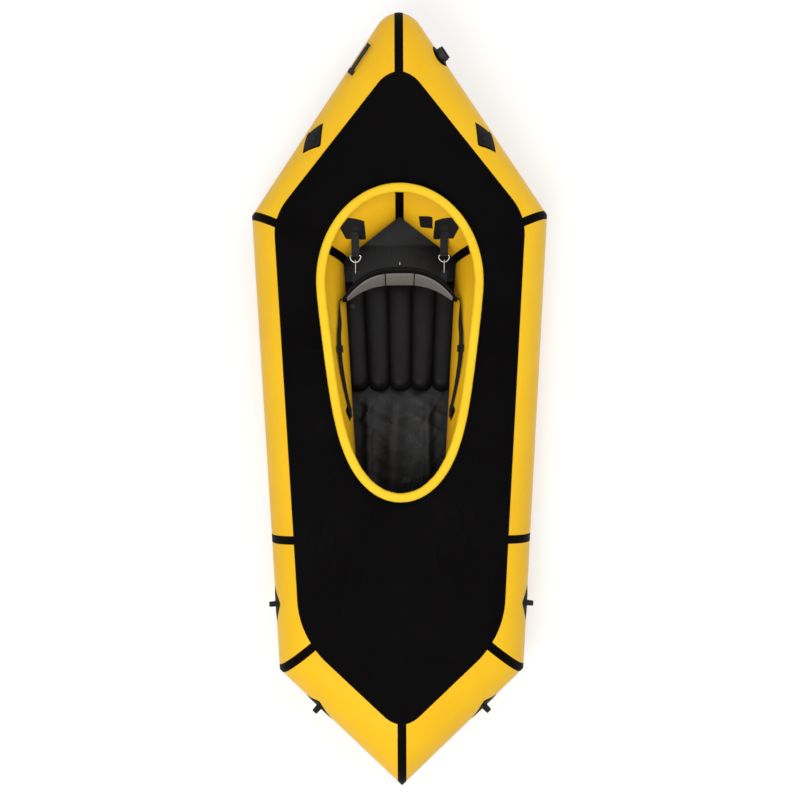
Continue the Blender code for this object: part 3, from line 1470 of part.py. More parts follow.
def build_valve(tube, black, plastic, grey, parts, cutters):
    spot = off_deck_spot(VALVE_SHARE, VALVE_OFF_DECK)
    hole_radius = VALVE_NECK_RADIUS + GAP
    rows = []
    for radius in (hole_radius + VALVE_FLANGE_CLEARANCE, VALVE_PATCH_RADIUS):
        row = []
        for step in range(TURNED_STEPS):
            angle = math.tau * step / TURNED_STEPS
            row.append(spot.point(radius * math.cos(angle), radius * math.sin(angle), PATCH_LIFT))
        rows.append(row)
    patch = mesh_from("valve_patch", rows[0] + rows[1], loft_faces(2, TURNED_STEPS), outward=False)
    if patch.polygons[0].normal.dot(spot.normal()) < 0:
        patch.flip_normals()
    add_solidify(add_object("valve_patch", patch, black, parts), PATCH_THICKNESS, 1)

    matrix = spot.frame()
    hole = cylinder("valve_hole", hole_radius, OVERRUN * 2, matrix, plastic, cutters)
    add_boolean(tube, as_cutter(hole), "DIFFERENCE")

    low = PATCH_LIFT + PATCH_THICKNESS + VALVE_FLANGE_CLEARANCE
    ledge = low + VALVE_FLANGE_THICKNESS
    top = ledge + VALVE_BARREL_HEIGHT
    bottom = -VALVE_NECK_DEPTH
    profile = [
        (VALVE_BORE_RADIUS, top),
        (VALVE_BARREL_RADIUS, top),
        (VALVE_BARREL_RADIUS, ledge),
        (VALVE_FLANGE_RADIUS, ledge),
        (VALVE_FLANGE_RADIUS, low),
        (VALVE_NECK_RADIUS, low),
        (VALVE_NECK_RADIUS, bottom),
        (VALVE_SEAT_RADIUS, bottom),
        (VALVE_SEAT_RADIUS, bottom + VALVE_SEAT_THICKNESS),
        (VALVE_BORE_RADIUS, bottom + VALVE_SEAT_THICKNESS),
    ]
    body = turned("valve_body", profile, matrix, plastic, parts, TURNED_STEPS, closed=True)
    web_top = low
    web_low = web_top - VALVE_WEB_HEIGHT
    hub = [
        (VALVE_HUB_BORE_RADIUS, web_top),
        (VALVE_HUB_RADIUS, web_top),
        (VALVE_HUB_RADIUS, web_low),
        (VALVE_HUB_BORE_RADIUS, web_low),
    ]
    reach = (VALVE_BORE_RADIUS + VALVE_NECK_RADIUS) / 2
    start = (VALVE_HUB_BORE_RADIUS + VALVE_HUB_RADIUS) / 2
    for index in range(VALVE_WEB_COUNT):
        turn = matrix @ Matrix.Rotation(math.tau * index / VALVE_WEB_COUNT, 4, "Z")
        half = VALVE_WEB_THICKNESS / 2
        web = box(
            "valve_web", (start, -half, web_low + GAP), (reach, half, web_top - GAP), turn, plastic, cutters
        )
        add_boolean(body, as_cutter(web), "UNION")
    item = turned("valve_hub", hub, matrix, plastic, cutters, TURNED_STEPS, closed=True)
    add_boolean(body, as_cutter(item), "UNION")

    stem = VALVE_STEM_RADIUS
    button = web_top + VALVE_BUTTON_TRAVEL + SWING_GAP
    disc = bottom - GAP
    profile = [
        (0, button + VALVE_BUTTON_THICKNESS),
        (VALVE_BUTTON_RADIUS, button + VALVE_BUTTON_THICKNESS),
        (VALVE_BUTTON_RADIUS, button),
        (stem, button),
        (stem, disc),
        (VALVE_DISC_RADIUS, disc),
        (VALVE_DISC_RADIUS, disc - VALVE_DISC_THICKNESS),
        (0, disc - VALVE_DISC_THICKNESS),
    ]
    turned("valve_poppet", profile, matrix, grey, parts, SMALL_TURNED_STEPS)

    inner = VALVE_BARREL_RADIUS + SWING_GAP / 2
    outer = inner + CAP_WALL
    under = top + GAP
    over = under + CAP_TOP_THICKNESS
    foot = ledge + CAP_FOOT_GAP
    profile = [(0, over), (outer, over), (outer, foot), (inner, foot), (inner, under), (0, under)]
    cap = turned("valve_cap", profile, matrix, plastic, parts, TURNED_STEPS)
    half = CAP_GRIP_THICKNESS / 2
    reach = outer * CAP_GRIP_SHARE
    low, high = (-reach, -half, over - GAP), (reach, half, over + CAP_GRIP_HEIGHT)
    grip = box("cap_grip", low, high, matrix, plastic, cutters)
    add_boolean(cap, as_cutter(grip), "UNION")


# Mouth tube


def mouth_matrix():
    """A frame on the flat facet of the left stern tube, with X along the tube towards the stern."""
    spot = off_deck_spot(MOUTH_BASE_SHARE, MOUTH_BASE_OFF_DECK)
    facet = math.tau / TUBE_FACETS
    lower = math.floor(spot.angle / facet) * facet
    ring = spot.start.between(spot.end, spot.share)
    edge, chord = ring.point(lower), ring.point(lower + facet) - ring.point(lower)
    share = (spot.point() - edge).dot(chord) / chord.length_squared
    up = spot.along().cross(chord).normalized()
    up = up if up.dot(spot.normal()) > 0 else -up
    along = (up * up.dot(spot.along()) - spot.along()).normalized()
    flip = Vector((-1, 1, 1))
    up, along = up * flip, along * flip
    matrix = Matrix((along, up.cross(along), up)).transposed().to_4x4()
    matrix.translation = (edge + chord * share) * flip
    return matrix


def build_mouth_tube(black, plastic, parts, cutters):
    matrix = mouth_matrix()
    low = GAP
    ledge = low + MOUTH_FLANGE_THICKNESS
    bore = MOUTH_TUBE_RADIUS + GAP
    wall = MOUTH_SADDLE_WALL
    axis = ledge + wall + bore
    flange = [(0, ledge), (MOUTH_FLANGE_RADIUS, ledge), (MOUTH_FLANGE_RADIUS, low), (0, low)]
    base = turned("mouth_tube_base", flange, matrix, plastic, parts, SMALL_TURNED_STEPS)
    half = MOUTH_SADDLE_LENGTH / 2
    side = bore + wall
    low, high = (-half, -side, ledge - GAP), (half, side, axis + side)
    saddle = box("mouth_saddle", low, high, matrix, plastic, cutters)
    add_boolean(base, as_cutter(saddle), "UNION")
    line = matrix @ Matrix.Translation((half, 0, axis)) @ Matrix.Rotation(math.pi / 2, 4, "Y")
    hole = cylinder("mouth_hole", bore, MOUTH_TUBE_ENTRY * 2, line, plastic, cutters)
    add_boolean(base, as_cutter(hole), "DIFFERENCE")

    start = GAP - MOUTH_TUBE_ENTRY
    end = start + MOUTH_TUBE_LENGTH
    radius, inner = MOUTH_TUBE_RADIUS, MOUTH_TUBE_BORE_RADIUS
    profile = [(inner, end), (radius, end), (radius, start), (inner, start)]
    turned("mouth_tube", profile, line, black, parts, SMALL_TURNED_STEPS, closed=True)

    face = end + GAP
    tip = face + MOUTHPIECE_LENGTH
    waist = face + MOUTHPIECE_LENGTH / 2
    lip = MOUTHPIECE_RADIUS
    neck = lip * MOUTHPIECE_LIP_SHARE
    hollow, spigot = MOUTHPIECE_BORE_RADIUS, MOUTHPIECE_SPIGOT_RADIUS
    back = face - MOUTHPIECE_SPIGOT_LENGTH
    profile = [(hollow, tip), (lip, tip), (neck, waist), (lip, face), (spigot, face)]
    profile += [(spigot, back), (hollow, back)]
    turned("mouthpiece", profile, line, plastic, parts, SMALL_TURNED_STEPS, closed=True)


def build():
    remove_everything()
    parts = make_collection("packraft")
    cutters = make_collection("cutters")
    yellow = make_material("yellow_fabric", YELLOW, 0.45)
    bright = make_material("coaming_fabric", BRIGHT_YELLOW, 0.45)
    black = make_material("black_tape", BLACK_FABRIC, 0.5)
    sheet = make_material("black_sheet", BLACK_SHEET, 0.6)
    plastic = make_material("black_plastic", BLACK_PLASTIC, 0.4)
    webbing = make_material("webbing", WEBBING_GREY, 0.8)
    grey = make_material("lining_fabric", LINING_GREY, 0.8)
    steel = make_material("steel", STEEL, 0.3, 1.0)
    tubes = build_tubes(yellow, parts)
    build_tapes(black, parts)
    build_floor(sheet, parts)
    build_deck(sheet, parts)
    build_coaming(bright, plastic, parts)
    build_tie_downs(black, parts, cutters)
    build_inner_patches(black, parts, cutters)
    build_rear_straps(webbing, parts)
    build_rings(steel, parts)
    build_band(sheet, grey, webbing, steel, parts, cutters)
    build_hooks(steel, parts)
    build_front_straps(webbing, black, plastic, parts, cutters)
    build_seat(sheet, parts)
    build_seat_valve(plastic, parts)
    build_valve(tubes["stern_tube"][0], black, plastic, grey, parts, cutters)
    build_mouth_tube(black, plastic, parts, cutters)


build()
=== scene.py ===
"""Looks of an inflatable packraft with a fitted spray deck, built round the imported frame.

The hull is worked out from the same plan as the solids: an outer line, an inner line and a
half height at each seam. A ring is one section of the tube, from a point of the outer line to a
point of the inner line. Every surface is a grid of points worked out with numpy.

Metres, +Z up, bow towards -Y, stern towards +Y.
"""

import math

import bmesh
import bpy
import numpy as np
from mathutils import Matrix, Vector


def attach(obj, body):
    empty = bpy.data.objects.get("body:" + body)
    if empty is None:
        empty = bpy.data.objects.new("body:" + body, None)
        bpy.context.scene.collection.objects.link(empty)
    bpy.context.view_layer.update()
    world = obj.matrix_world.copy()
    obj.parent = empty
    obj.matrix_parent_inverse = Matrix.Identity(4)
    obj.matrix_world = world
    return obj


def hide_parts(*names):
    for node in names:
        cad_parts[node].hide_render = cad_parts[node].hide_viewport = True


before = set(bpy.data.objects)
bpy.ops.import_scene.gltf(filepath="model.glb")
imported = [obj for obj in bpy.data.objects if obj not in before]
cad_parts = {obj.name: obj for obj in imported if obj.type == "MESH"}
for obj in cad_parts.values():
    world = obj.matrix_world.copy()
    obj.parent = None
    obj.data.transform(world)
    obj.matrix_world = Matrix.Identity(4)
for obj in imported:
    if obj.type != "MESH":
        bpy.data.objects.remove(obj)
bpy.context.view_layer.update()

MM = 0.001
GAP = 0.3 * MM
MIRROR = np.array([-1.0, 1.0, 1.0])
X_AXIS = np.array([1.0, 0.0, 0.0])
UPWARDS = np.array([0.0, 0.0, 1.0])
SIDES = (("right", 1.0), ("left", -1.0))

# Seams of the right half: outer point, inner point and half height
REAR = (np.array([0.471, 0.573, 0.1531]), np.array([0.18075, 0.43537, 0.1531]), 0.150)
SIDE = (np.array([0.413, -0.451, 0.1466]), np.array([0.13152, -0.43380, 0.1466]), 0.1435)
FRONT = (np.array([0.386, -0.863, 0.17624]), np.array([0.11831, -0.63536, 0.16570]), 0.1525)
BOW = (np.array([0.0, -1.172, 0.33602]), np.array([0.0, -0.74288, 0.22176]), 0.159)

# Round nose of the stern
STERN_Y = 1.228
NOSE_RADIUS = 0.080
STERN_TIP_WIDTH = 0.387
STERN_HALF = 0.1675
STERN_CLIMB = 0.15
UNDERSIDE = 3.1 * MM

TUBE_AROUND = 96
TUBE_WALL = 1.0 * MM
TAPE_HALF = 13 * MM
TAPE_THICKNESS = 0.75 * MM
SEAM_DRAW = 0.9 * MM
SEAM_REACH = 0.017
FLOOR_THICKNESS = 1.5 * MM

# Deck and cockpit
DECK_LIFT = 2.6 * MM
DECK_THICKNESS = 0.9 * MM
SKIRT_REACH = 1.05 * MM
COCKPIT_HALF_WIDTH = 0.2376
COCKPIT_WIDEST_Y = 0.342
COCKPIT_REAR_Y = 0.623
COCKPIT_FRONT_Y = -0.310
COCKPIT_CENTRE_Y = 0.222
COAMING_FRONT_Z = 0.3121
COAMING_REAR_Z = 0.33332


# Meshes from grids of points


def grid_faces(rows, columns, wrap_rows):
    """Quads of a grid of points stored row after row, as one array of index quadruples. Each row
    closes on itself, and with wrap_rows the last row joins the first."""
    r = np.arange(rows if wrap_rows else rows - 1)[:, None]
    c = np.arange(columns)[None, :]
    r2, c2 = (r + 1) % rows, (c + 1) % columns
    corners = (r * columns + c, r * columns + c2, r2 * columns + c2, r2 * columns + c)
    return spread(*corners).reshape(-1, 4)


def mesh_of(name, points, faces, uv=None, merge=1e-6):
    """A closed mesh with its doubles merged and its faces turned outwards."""
    mesh = bpy.data.meshes.new(name)
    corners = [list(map(int, face)) for face in faces]
    mesh.from_pydata(np.asarray(points).reshape(-1, 3).tolist(), [], corners)
    if uv is not None:
        layer = mesh.uv_layers.new(name="UVMap")
        index = np.zeros(len(mesh.loops), np.int32)
        mesh.loops.foreach_get("vertex_index", index)
        layer.data.foreach_set("uv", np.asarray(uv, np.float32).reshape(-1, 2)[index].ravel())
    work = bmesh.new()
    work.from_mesh(mesh)
    bmesh.ops.remove_doubles(work, verts=work.verts, dist=merge)
    bmesh.ops.dissolve_degenerate(work, edges=work.edges, dist=merge)
    bmesh.ops.recalc_face_normals(work, faces=work.faces)
    work.to_mesh(mesh)
    work.free()
    mesh.shade_smooth()
    return mesh


def new_object(name, data):
    """An object at the origin, in the scene."""
    item = bpy.data.objects.new(name, data)
    bpy.context.scene.collection.objects.link(item)
    return item


def add_piece(name, mesh, material, body, replaces=(), sharp=40.0):
    """A finished piece at the origin that rides on a body and stands for its nodes."""
    mesh.set_sharp_from_angle(angle=math.radians(sharp))
    mesh.materials.clear()
    mesh.materials.append(material)
    item = new_object(name, mesh)
    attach(item, body)
    if replaces:
        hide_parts(*replaces)
    return item


def closed_grid(name, points, uv=None, wrap_rows=True, caps=False):
    """A closed body from a grid of points: a torus, or a capped tube where the rows end."""
    rows, columns = points.shape[:2]
    faces = grid_faces(rows, columns, wrap_rows).tolist()
    if caps:
        faces.append(list(range(columns))[::-1])
        faces.append(list(range((rows - 1) * columns, rows * columns)))
    return mesh_of(name, points, faces, uv)


def mirrored(points):
    return points * MIRROR


def unit(vectors):
    return vectors / np.maximum(np.linalg.norm(vectors, axis=-1, keepdims=True), 1e-12)


def smooth_step(values, low, high):
    """0 below low, 1 above high, and the cubic 3t2 - 2t3 between them."""
    t = np.clip((values - low) / (high - low), 0, 1)
    return t * t * (3 - 2 * t)


def hump(values, centre, width):
    """1 at the centre, and exp(-t2) on both sides, where t is the distance over the width."""
    return np.exp(-(((values - centre) / width) ** 2))


def run_along(path):
    """How far each point of a path is from its start."""
    return np.concatenate([[0], np.cumsum(np.linalg.norm(np.diff(path, axis=0), axis=1))])


def sampled(path, run, places):
    """Points of a path at distances from its start, each coordinate by straight interpolation."""
    return spread(*(np.interp(places, run, column) for column in path.T))


def placed(points, matrix):
    """Points given in a frame, as points of the boat."""
    return points @ matrix[:3, :3].T + matrix[:3, 3]


def there_and_back(first, second):
    """The rows of one grid, then those of another from last to first."""
    return np.concatenate([first, second[::-1]])


def over_and_under(face, other):
    """Rows that run over one face of a sheet and return along the other."""
    return np.concatenate([face, other[:, ::-1]], axis=1)


def both_halves(half, other):
    """The rows of one half, then those of the other half back to the start, each end once."""
    return np.concatenate([half, other[-2:0:-1]])


def spread(*values):
    """Coordinates side by side, each a number or an array that is spread over the others' shape."""
    return np.stack(np.broadcast_arrays(*values), -1)


# Rings of the hull


def mix_rings(first, last, shares):
    """Rings between two, at shares of the way: outer points, inner points, half heights."""
    t = np.asarray(shares, float)[:, None]
    outer = first[0] + (last[0] - first[0]) * t
    inner = first[1] + (last[1] - first[1]) * t
    return outer, inner, first[2] + (last[2] - first[2]) * t[:, 0]


def near_rings(seam, far, distances):
    """Rings at distances from a seam's upright plane, on the way to another seam."""
    reach = seam[0] - seam[1]
    normal = unit(np.array([-reach[1], reach[0], 0.0]))
    d = np.asarray(distances, float)
    outer_share = d / abs((far[0] - seam[0]) @ normal)
    inner_share = d / abs((far[1] - seam[0]) @ normal)
    outer = seam[0] + (far[0] - seam[0]) * outer_share[:, None]
    inner = seam[1] + (far[1] - seam[1]) * inner_share[:, None]
    return outer, inner, seam[2] + (far[2] - seam[2]) * (outer_share + inner_share) / 2


SLOPE = unit(REAR[0][:2] - np.array([0.0, STERN_Y]))
NOSE_TURN = math.pi / 2 - math.atan2(SLOPE[0], -SLOPE[1])


def nose_rings(shares):
    """Rings across the round of the stern. Each lies in a plane along the boat, where an arc of
    the nose's radius has turned by a share of the way to the straight tube."""
    turn = NOSE_TURN * np.asarray(shares, float)
    centre = STERN_Y - NOSE_RADIUS / abs(SLOPE[0])
    x, y = NOSE_RADIUS * np.sin(turn), centre + NOSE_RADIUS * np.cos(turn)
    share = x / REAR[1][0]
    tip_y = STERN_Y - STERN_TIP_WIDTH / abs(SLOPE[0])
    inner_x, inner_y = REAR[1][0] * share, tip_y + (REAR[1][1] - tip_y) * share
    half = STERN_HALF + (REAR[2] - STERN_HALF) * share
    outer_z = UNDERSIDE + half + STERN_CLIMB * np.hypot(x - REAR[0][0], y - REAR[0][1])
    inner_z = UNDERSIDE + half + STERN_CLIMB * np.hypot(inner_x - REAR[1][0], inner_y - REAR[1][1])
    return spread(x, y, outer_z), spread(inner_x, inner_y, inner_z), half


def one_ring(rings, index):
    return rings[0][index], rings[1][index], float(rings[2][index])


NOSE_END = one_ring(nose_rings([1.0]), 0)
NEAR = np.linspace(0, TAPE_HALF, 7)


def join_rings(*groups):
    return tuple(np.concatenate([group[part] for group in groups]) for part in range(3))


def panel_rings(name, count):
    """All rings of one panel from stern to bow: close together under the tapes, even between."""
    even = np.linspace(0, 1, count + 2)[1:-1]
    if name == "stern_tube":
        tape_shares = np.arcsin(NEAR / NOSE_RADIUS) / NOSE_TURN
        rest = np.linspace(tape_shares[-1], 1, 14)[1:]
        last = near_rings(REAR, NOSE_END, NEAR[::-1])
        straight = mix_rings(NOSE_END, one_ring(last, 0), even)
        return join_rings(nose_rings(tape_shares), nose_rings(rest), straight, last)
    start, end = {
        "rear_side_tube": (REAR, SIDE),
        "front_side_tube": (SIDE, FRONT),
        "bow_tube": (FRONT, BOW),
    }[name]
    first = near_rings(start, end, NEAR)
    last = near_rings(end, start, NEAR[::-1])
    return join_rings(first, mix_rings(one_ring(first, -1), one_ring(last, 0), even), last)


def skin(rings, angles, lift=0.0):
    """Points of the tube: middle + reach cos(angle) + height sin(angle), grown by the lift.

    Angle 0 is outermost, a quarter turn the top, a half turn innermost."""
    outer, inner, half = rings
    angles = np.broadcast_to(np.asarray(angles, float), (len(half), np.shape(angles)[-1]))
    middle, reach = (outer + inner) / 2, (outer - inner) / 2
    grow = 1 + np.asarray(lift) / half[:, None]
    plan = reach[:, None, :] * np.cos(angles)[..., None]
    rise = UPWARDS * (half[:, None] * np.sin(angles))[..., None]
    return middle[:, None, :] + (plan + rise) * grow[..., None]


def seam_distance(rings):
    """How far each ring is along the tube from the nearer end of its panel."""
    run = run_along((rings[0] + rings[1]) / 2)
    return np.minimum(run, run[-1] - run), run


PANEL_COUNTS = {"stern_tube": 34, "rear_side_tube": 52, "front_side_tube": 24, "bow_tube": 26}
AROUND = np.linspace(0, math.tau, TUBE_AROUND, endpoint=False)


def inflated_lift(distance, angles):
    """How far the fabric stands off the plain tube: full between its seams, drawn in under the
    tape, with short gathers that fan out from it and fade within a hand's width."""
    d = distance[:, None]
    full = 0.45 * MM * (1 - np.exp(-d / 0.05))
    gather = np.sin(angles * 23 + 1.3 * np.sin(angles * 3)) + 0.6 * np.sin(angles * 41 + 2)
    fan = 0.40 * MM * smooth_step(d, 0.014, 0.028) * hump(d, 0.028, 0.020) * gather
    return full - SEAM_DRAW * hump(d, 0, SEAM_REACH) + fan


def wall_mesh(name, outside, inside, uv, side):
    """The closed wall between two skins of the tube, on the right or on the left of the boat."""
    points = there_and_back(outside, inside)
    if side < 0:
        points = mirrored(points)
    return closed_grid(name, points, there_and_back(uv, uv))


def tube_mesh(name, rings, side):
    """One panel of the tube, from seam to seam."""
    distance, run = seam_distance(rings)
    lift = inflated_lift(distance, AROUND[None, :])
    outside = skin(rings, AROUND, lift)
    girth = np.linalg.norm(np.roll(outside, -1, 1) - outside, axis=-1).mean(0).sum()
    uv = spread(run[:, None], np.abs(AROUND / math.tau - 0.5) * girth)
    return wall_mesh(name, outside, skin(rings, AROUND, lift - TUBE_WALL), uv, side)


def tape_band(name, rings, side=1.0):
    """A band of tape round a seam: flat, with edges that run out onto the tube."""
    place = np.linspace(-1, 1, len(rings[2]))
    t = np.abs(place)
    lift = 0.25 * MM - SEAM_DRAW * hump(t * TAPE_HALF, 0, SEAM_REACH)
    top = TAPE_THICKNESS * (1 - smooth_step(t, 0.93, 1.0) * 0.75)
    outside = skin(rings, AROUND, (lift + top)[:, None])
    inside = skin(rings, AROUND, lift[:, None])
    uv = spread(np.abs(AROUND - math.pi) * float(rings[2].mean()), (place * TAPE_HALF)[:, None])
    return wall_mesh(name, outside, inside, uv, side)


# Shader node groups


def group_tree(name, inputs, outputs):
    """An empty node group with named sockets."""
    tree = bpy.data.node_groups.new(name, "ShaderNodeTree")
    for socket, kind, value in inputs:
        made = tree.interface.new_socket(socket, in_out="INPUT", socket_type=kind)
        if value is not None:
            made.default_value = value
    for socket, kind in outputs:
        tree.interface.new_socket(socket, in_out="OUTPUT", socket_type=kind)
    return tree, tree.nodes.new("NodeGroupInput"), tree.nodes.new("NodeGroupOutput")


def math_node(tree, operation, *values):
    node = tree.nodes.new("ShaderNodeMath")
    node.operation = operation
    for socket, value in zip(node.inputs, values):
        if isinstance(value, (int, float)):
            socket.default_value = value
        else:
            tree.links.new(value, socket)
    return node.outputs[0]


def noise_node(tree, vector, scale, detail=3.0, roughness=0.5):
    node = tree.nodes.new("ShaderNodeTexNoise")
    node.inputs["Scale"].default_value = scale
    node.inputs["Detail"].default_value = detail
    node.inputs["Roughness"].default_value = roughness
    tree.links.new(vector, node.inputs["Vector"])
    return node.outputs["Fac"]


def remap(tree, value, low, high, to_low, to_high):
    node = tree.nodes.new("ShaderNodeMapRange")
    tree.links.new(value, node.inputs["Value"])
    limits = {"From Min": low, "From Max": high, "To Min": to_low, "To Max": to_high}
    for socket, number in limits.items():
        node.inputs[socket].default_value = number
    return node.outputs["Result"]


def plain_weave():
    """Plain weave from a map in metres: warp and weft threads cross over one another by turns."""
    tree, put, out = group_tree(
        "plain_weave",
        [("Vector", "NodeSocketVector", None), ("Threads", "NodeSocketFloat", 1200.0)],
        [("Height", "NodeSocketFloat")],
    )
    split = tree.nodes.new("ShaderNodeSeparateXYZ")
    tree.links.new(put.outputs["Vector"], split.inputs[0])

    def node(operation, *values):
        return math_node(tree, operation, *values)

    u, v = (node("MULTIPLY", split.outputs[axis], put.outputs["Threads"]) for axis in "XY")
    warp, weft = (node("ABSOLUTE", node("SINE", node("MULTIPLY", way, math.pi))) for way in (u, v))
    turns = node("ADD", node("FLOOR", u), node("FLOOR", v))
    over = node("MULTIPLY", node("ABSOLUTE", node("MODULO", turns, 2.0)), 0.6)
    high = node("MULTIPLY", warp, node("ADD", over, 0.4))
    low = node("MULTIPLY", weft, node("SUBTRACT", 1.0, over))
    tree.links.new(node("MAXIMUM", high, low), out.inputs["Height"])
    return tree


def handled_cloth():
    """Slow changes of tone and gloss over coated cloth, and the soft unevenness of its face."""
    tree, put, out = group_tree(
        "handled_cloth",
        [("Vector", "NodeSocketVector", None), ("Scale", "NodeSocketFloat", 1.0)],
        [("Tone", "NodeSocketFloat"), ("Gloss", "NodeSocketFloat"), ("Height", "NodeSocketFloat")],
    )
    scaled = tree.nodes.new("ShaderNodeVectorMath")
    scaled.operation = "SCALE"
    tree.links.new(put.outputs["Vector"], scaled.inputs[0])
    tree.links.new(put.outputs["Scale"], scaled.inputs["Scale"])
    place = scaled.outputs[0]
    broad = noise_node(tree, place, 3.5, 2.0)
    patchy = noise_node(tree, place, 22.0, 4.0, 0.6)
    fine = noise_node(tree, place, 900.0, 2.0, 0.6)

    def blend(first, share, second, other):
        parts = (math_node(tree, "MULTIPLY", first, share), math_node(tree, "MULTIPLY", second, other))
        return math_node(tree, "ADD", *parts)

    tree.links.new(blend(broad, 0.7, patchy, 0.3), out.inputs["Tone"])
    tree.links.new(patchy, out.inputs["Gloss"])
    tree.links.new(blend(patchy, 0.5, fine, 0.25), out.inputs["Height"])
    return tree


WEAVE = plain_weave()
HANDLED = handled_cloth()


def place_group(tree, group, vector, **values):
    node = tree.nodes.new("ShaderNodeGroup")
    node.node_tree = group
    tree.links.new(vector, node.inputs["Vector"])
    for name, value in values.items():
        node.inputs[name].default_value = value
    return node


def colour_between(tree, share, first, second):
    """A colour that runs from one to another with a share."""
    node = tree.nodes.new("ShaderNodeMix")
    node.data_type = "RGBA"
    tree.links.new(share, node.inputs["Factor"])
    node.inputs["A"].default_value = (*first, 1.0)
    node.inputs["B"].default_value = (*second, 1.0)
    return node.outputs["Result"]


def bump_node(tree, height, distance, before=None):
    node = tree.nodes.new("ShaderNodeBump")
    node.inputs["Distance"].default_value = distance
    node.inputs["Strength"].default_value = 1.0
    tree.links.new(height, node.inputs["Height"])
    if before is not None:
        tree.links.new(before, node.inputs["Normal"])
    return node.outputs["Normal"]


def two_tone(name, colour, worn, roughness, smoother, gloss_level, scale):
    """A material in two tones of one colour with uneven gloss: it, its handled_cloth node and the
    piece's map."""
    material = bpy.data.materials.new(name)
    material.use_nodes = True
    tree = material.node_tree
    shader = tree.nodes["Principled BSDF"]
    coords = tree.nodes.new("ShaderNodeTexCoord")
    handled = place_group(tree, HANDLED, coords.outputs["Object"], Scale=scale)
    share = remap(tree, handled.outputs["Tone"], 0.36, 0.64, 0.0, 1.0)
    tree.links.new(colour_between(tree, share, colour, worn), shader.inputs["Base Color"])
    gloss = remap(tree, handled.outputs["Gloss"], 0.3, 0.7, roughness - smoother, roughness + 0.06)
    tree.links.new(gloss, shader.inputs["Roughness"])
    shader.inputs["Specular IOR Level"].default_value = gloss_level
    return material, handled, coords.outputs["UV"]


def cloth_material(name, colour, worn, roughness, threads, depth, waves=0.4, gloss=0.1, sheen=0.0):
    """Coated or woven cloth: threads to the metre, how deep the weave and the waves are in mm."""
    material, handled, cloth_map = two_tone(name, colour, worn, roughness, 0.05, gloss, 1.0)
    tree = material.node_tree
    shader = tree.nodes["Principled BSDF"]
    weave = place_group(tree, WEAVE, cloth_map, Threads=threads)
    normal = bump_node(tree, handled.outputs["Height"], waves * MM)
    normal = bump_node(tree, weave.outputs["Height"], depth * MM, before=normal)
    tree.links.new(normal, shader.inputs["Normal"])
    shader.inputs["Sheen Weight"].default_value = sheen
    shader.inputs["Sheen Roughness"].default_value = 0.5
    return material


def solid_material(name, colour, worn, roughness, scale, metallic=0.0, grain=0.06):
    """Moulded plastic, thread or metal: a fine grain, its depth in mm."""
    material, handled, _ = two_tone(name, colour, worn, roughness, 0.06, 0.25, scale)
    tree = material.node_tree
    shader = tree.nodes["Principled BSDF"]
    normal = bump_node(tree, handled.outputs["Height"], grain * MM)
    tree.links.new(normal, shader.inputs["Normal"])
    shader.inputs["Metallic"].default_value = metallic
    return material


HULL_YELLOW = cloth_material(
    "hull_yellow", (0.94, 0.557, 0.018), (0.90, 0.502, 0.013),
    roughness=0.37, threads=1400.0, depth=0.05, waves=0.8, gloss=0.13,
)
SLEEVE_YELLOW = cloth_material(
    "sleeve_yellow", (0.93, 0.625, 0.026), (0.90, 0.560, 0.020),
    roughness=0.45, threads=900.0, depth=0.08, gloss=0.12,
)
TAPE_BLACK = cloth_material(
    "tape_black", (0.0026, 0.0019, 0.0017), (0.0040, 0.0032, 0.0030),
    roughness=0.50, threads=700.0, depth=0.08, gloss=0.015,
)
PATCH_BLACK = cloth_material(
    "patch_black", (0.0085, 0.0082, 0.0085), (0.0150, 0.0146, 0.0150),
    roughness=0.58, threads=700.0, depth=0.10, gloss=0.08,
)
DECK_BLACK = cloth_material(
    "deck_black", (0.0020, 0.0016, 0.0019), (0.0036, 0.0031, 0.0035),
    roughness=0.55, threads=1100.0, depth=0.07, waves=1.0, gloss=0.018,
)
FLOOR_BLACK = cloth_material(
    "floor_black", (0.0040, 0.0037, 0.0039), (0.0070, 0.0066, 0.0068),
    roughness=0.30, threads=500.0, depth=0.10, waves=1.0, gloss=0.24,
)
SEAT_BLACK = cloth_material(
    "seat_black", (0.0050, 0.0045, 0.0052), (0.0085, 0.0079, 0.0087),
    roughness=0.42, threads=900.0, depth=0.06, waves=0.8, gloss=0.11,
)
BAND_BLACK = cloth_material(
    "band_black", (0.0040, 0.0038, 0.0036), (0.0078, 0.0074, 0.0072),
    roughness=0.66, threads=700.0, depth=0.15, gloss=0.07,
)
LINING_GREY = cloth_material(
    "lining_grey", (0.215, 0.208, 0.203), (0.265, 0.258, 0.252),
    roughness=0.80, threads=420.0, depth=0.35, gloss=0.15, sheen=0.1,
)
WEBBING = cloth_material(
    "webbing_grey", (0.0125, 0.0124, 0.0140), (0.0230, 0.0226, 0.0255),
    roughness=0.70, threads=520.0, depth=0.30, gloss=0.10, sheen=0.02,
)
PLASTIC = solid_material("moulded_black", (0.012, 0.012, 0.013), (0.020, 0.020, 0.021), 0.40, 4.0)
HOSE = solid_material("hose_black", (0.016, 0.016, 0.017), (0.024, 0.024, 0.025), 0.50, 4.0)
POPPET = solid_material("poppet_grey", (0.14, 0.135, 0.13), (0.18, 0.17, 0.165), 0.5, 4.0)
THREAD_BLACK = solid_material("thread_black", (0.020, 0.020, 0.021), (0.034, 0.033, 0.035), 0.6, 8.0)
THREAD_YELLOW = solid_material("thread_yellow", (0.93, 0.60, 0.06), (0.86, 0.52, 0.05), 0.7, 8.0)
STEEL = solid_material(
    "bright_wire", (0.62, 0.62, 0.63), (0.50, 0.50, 0.51), 0.26, 6.0, metallic=1.0, grain=0.02
)

# Hull tubes and their tapes

PANEL_RINGS = {name: panel_rings(name, count) for name, count in PANEL_COUNTS.items()}


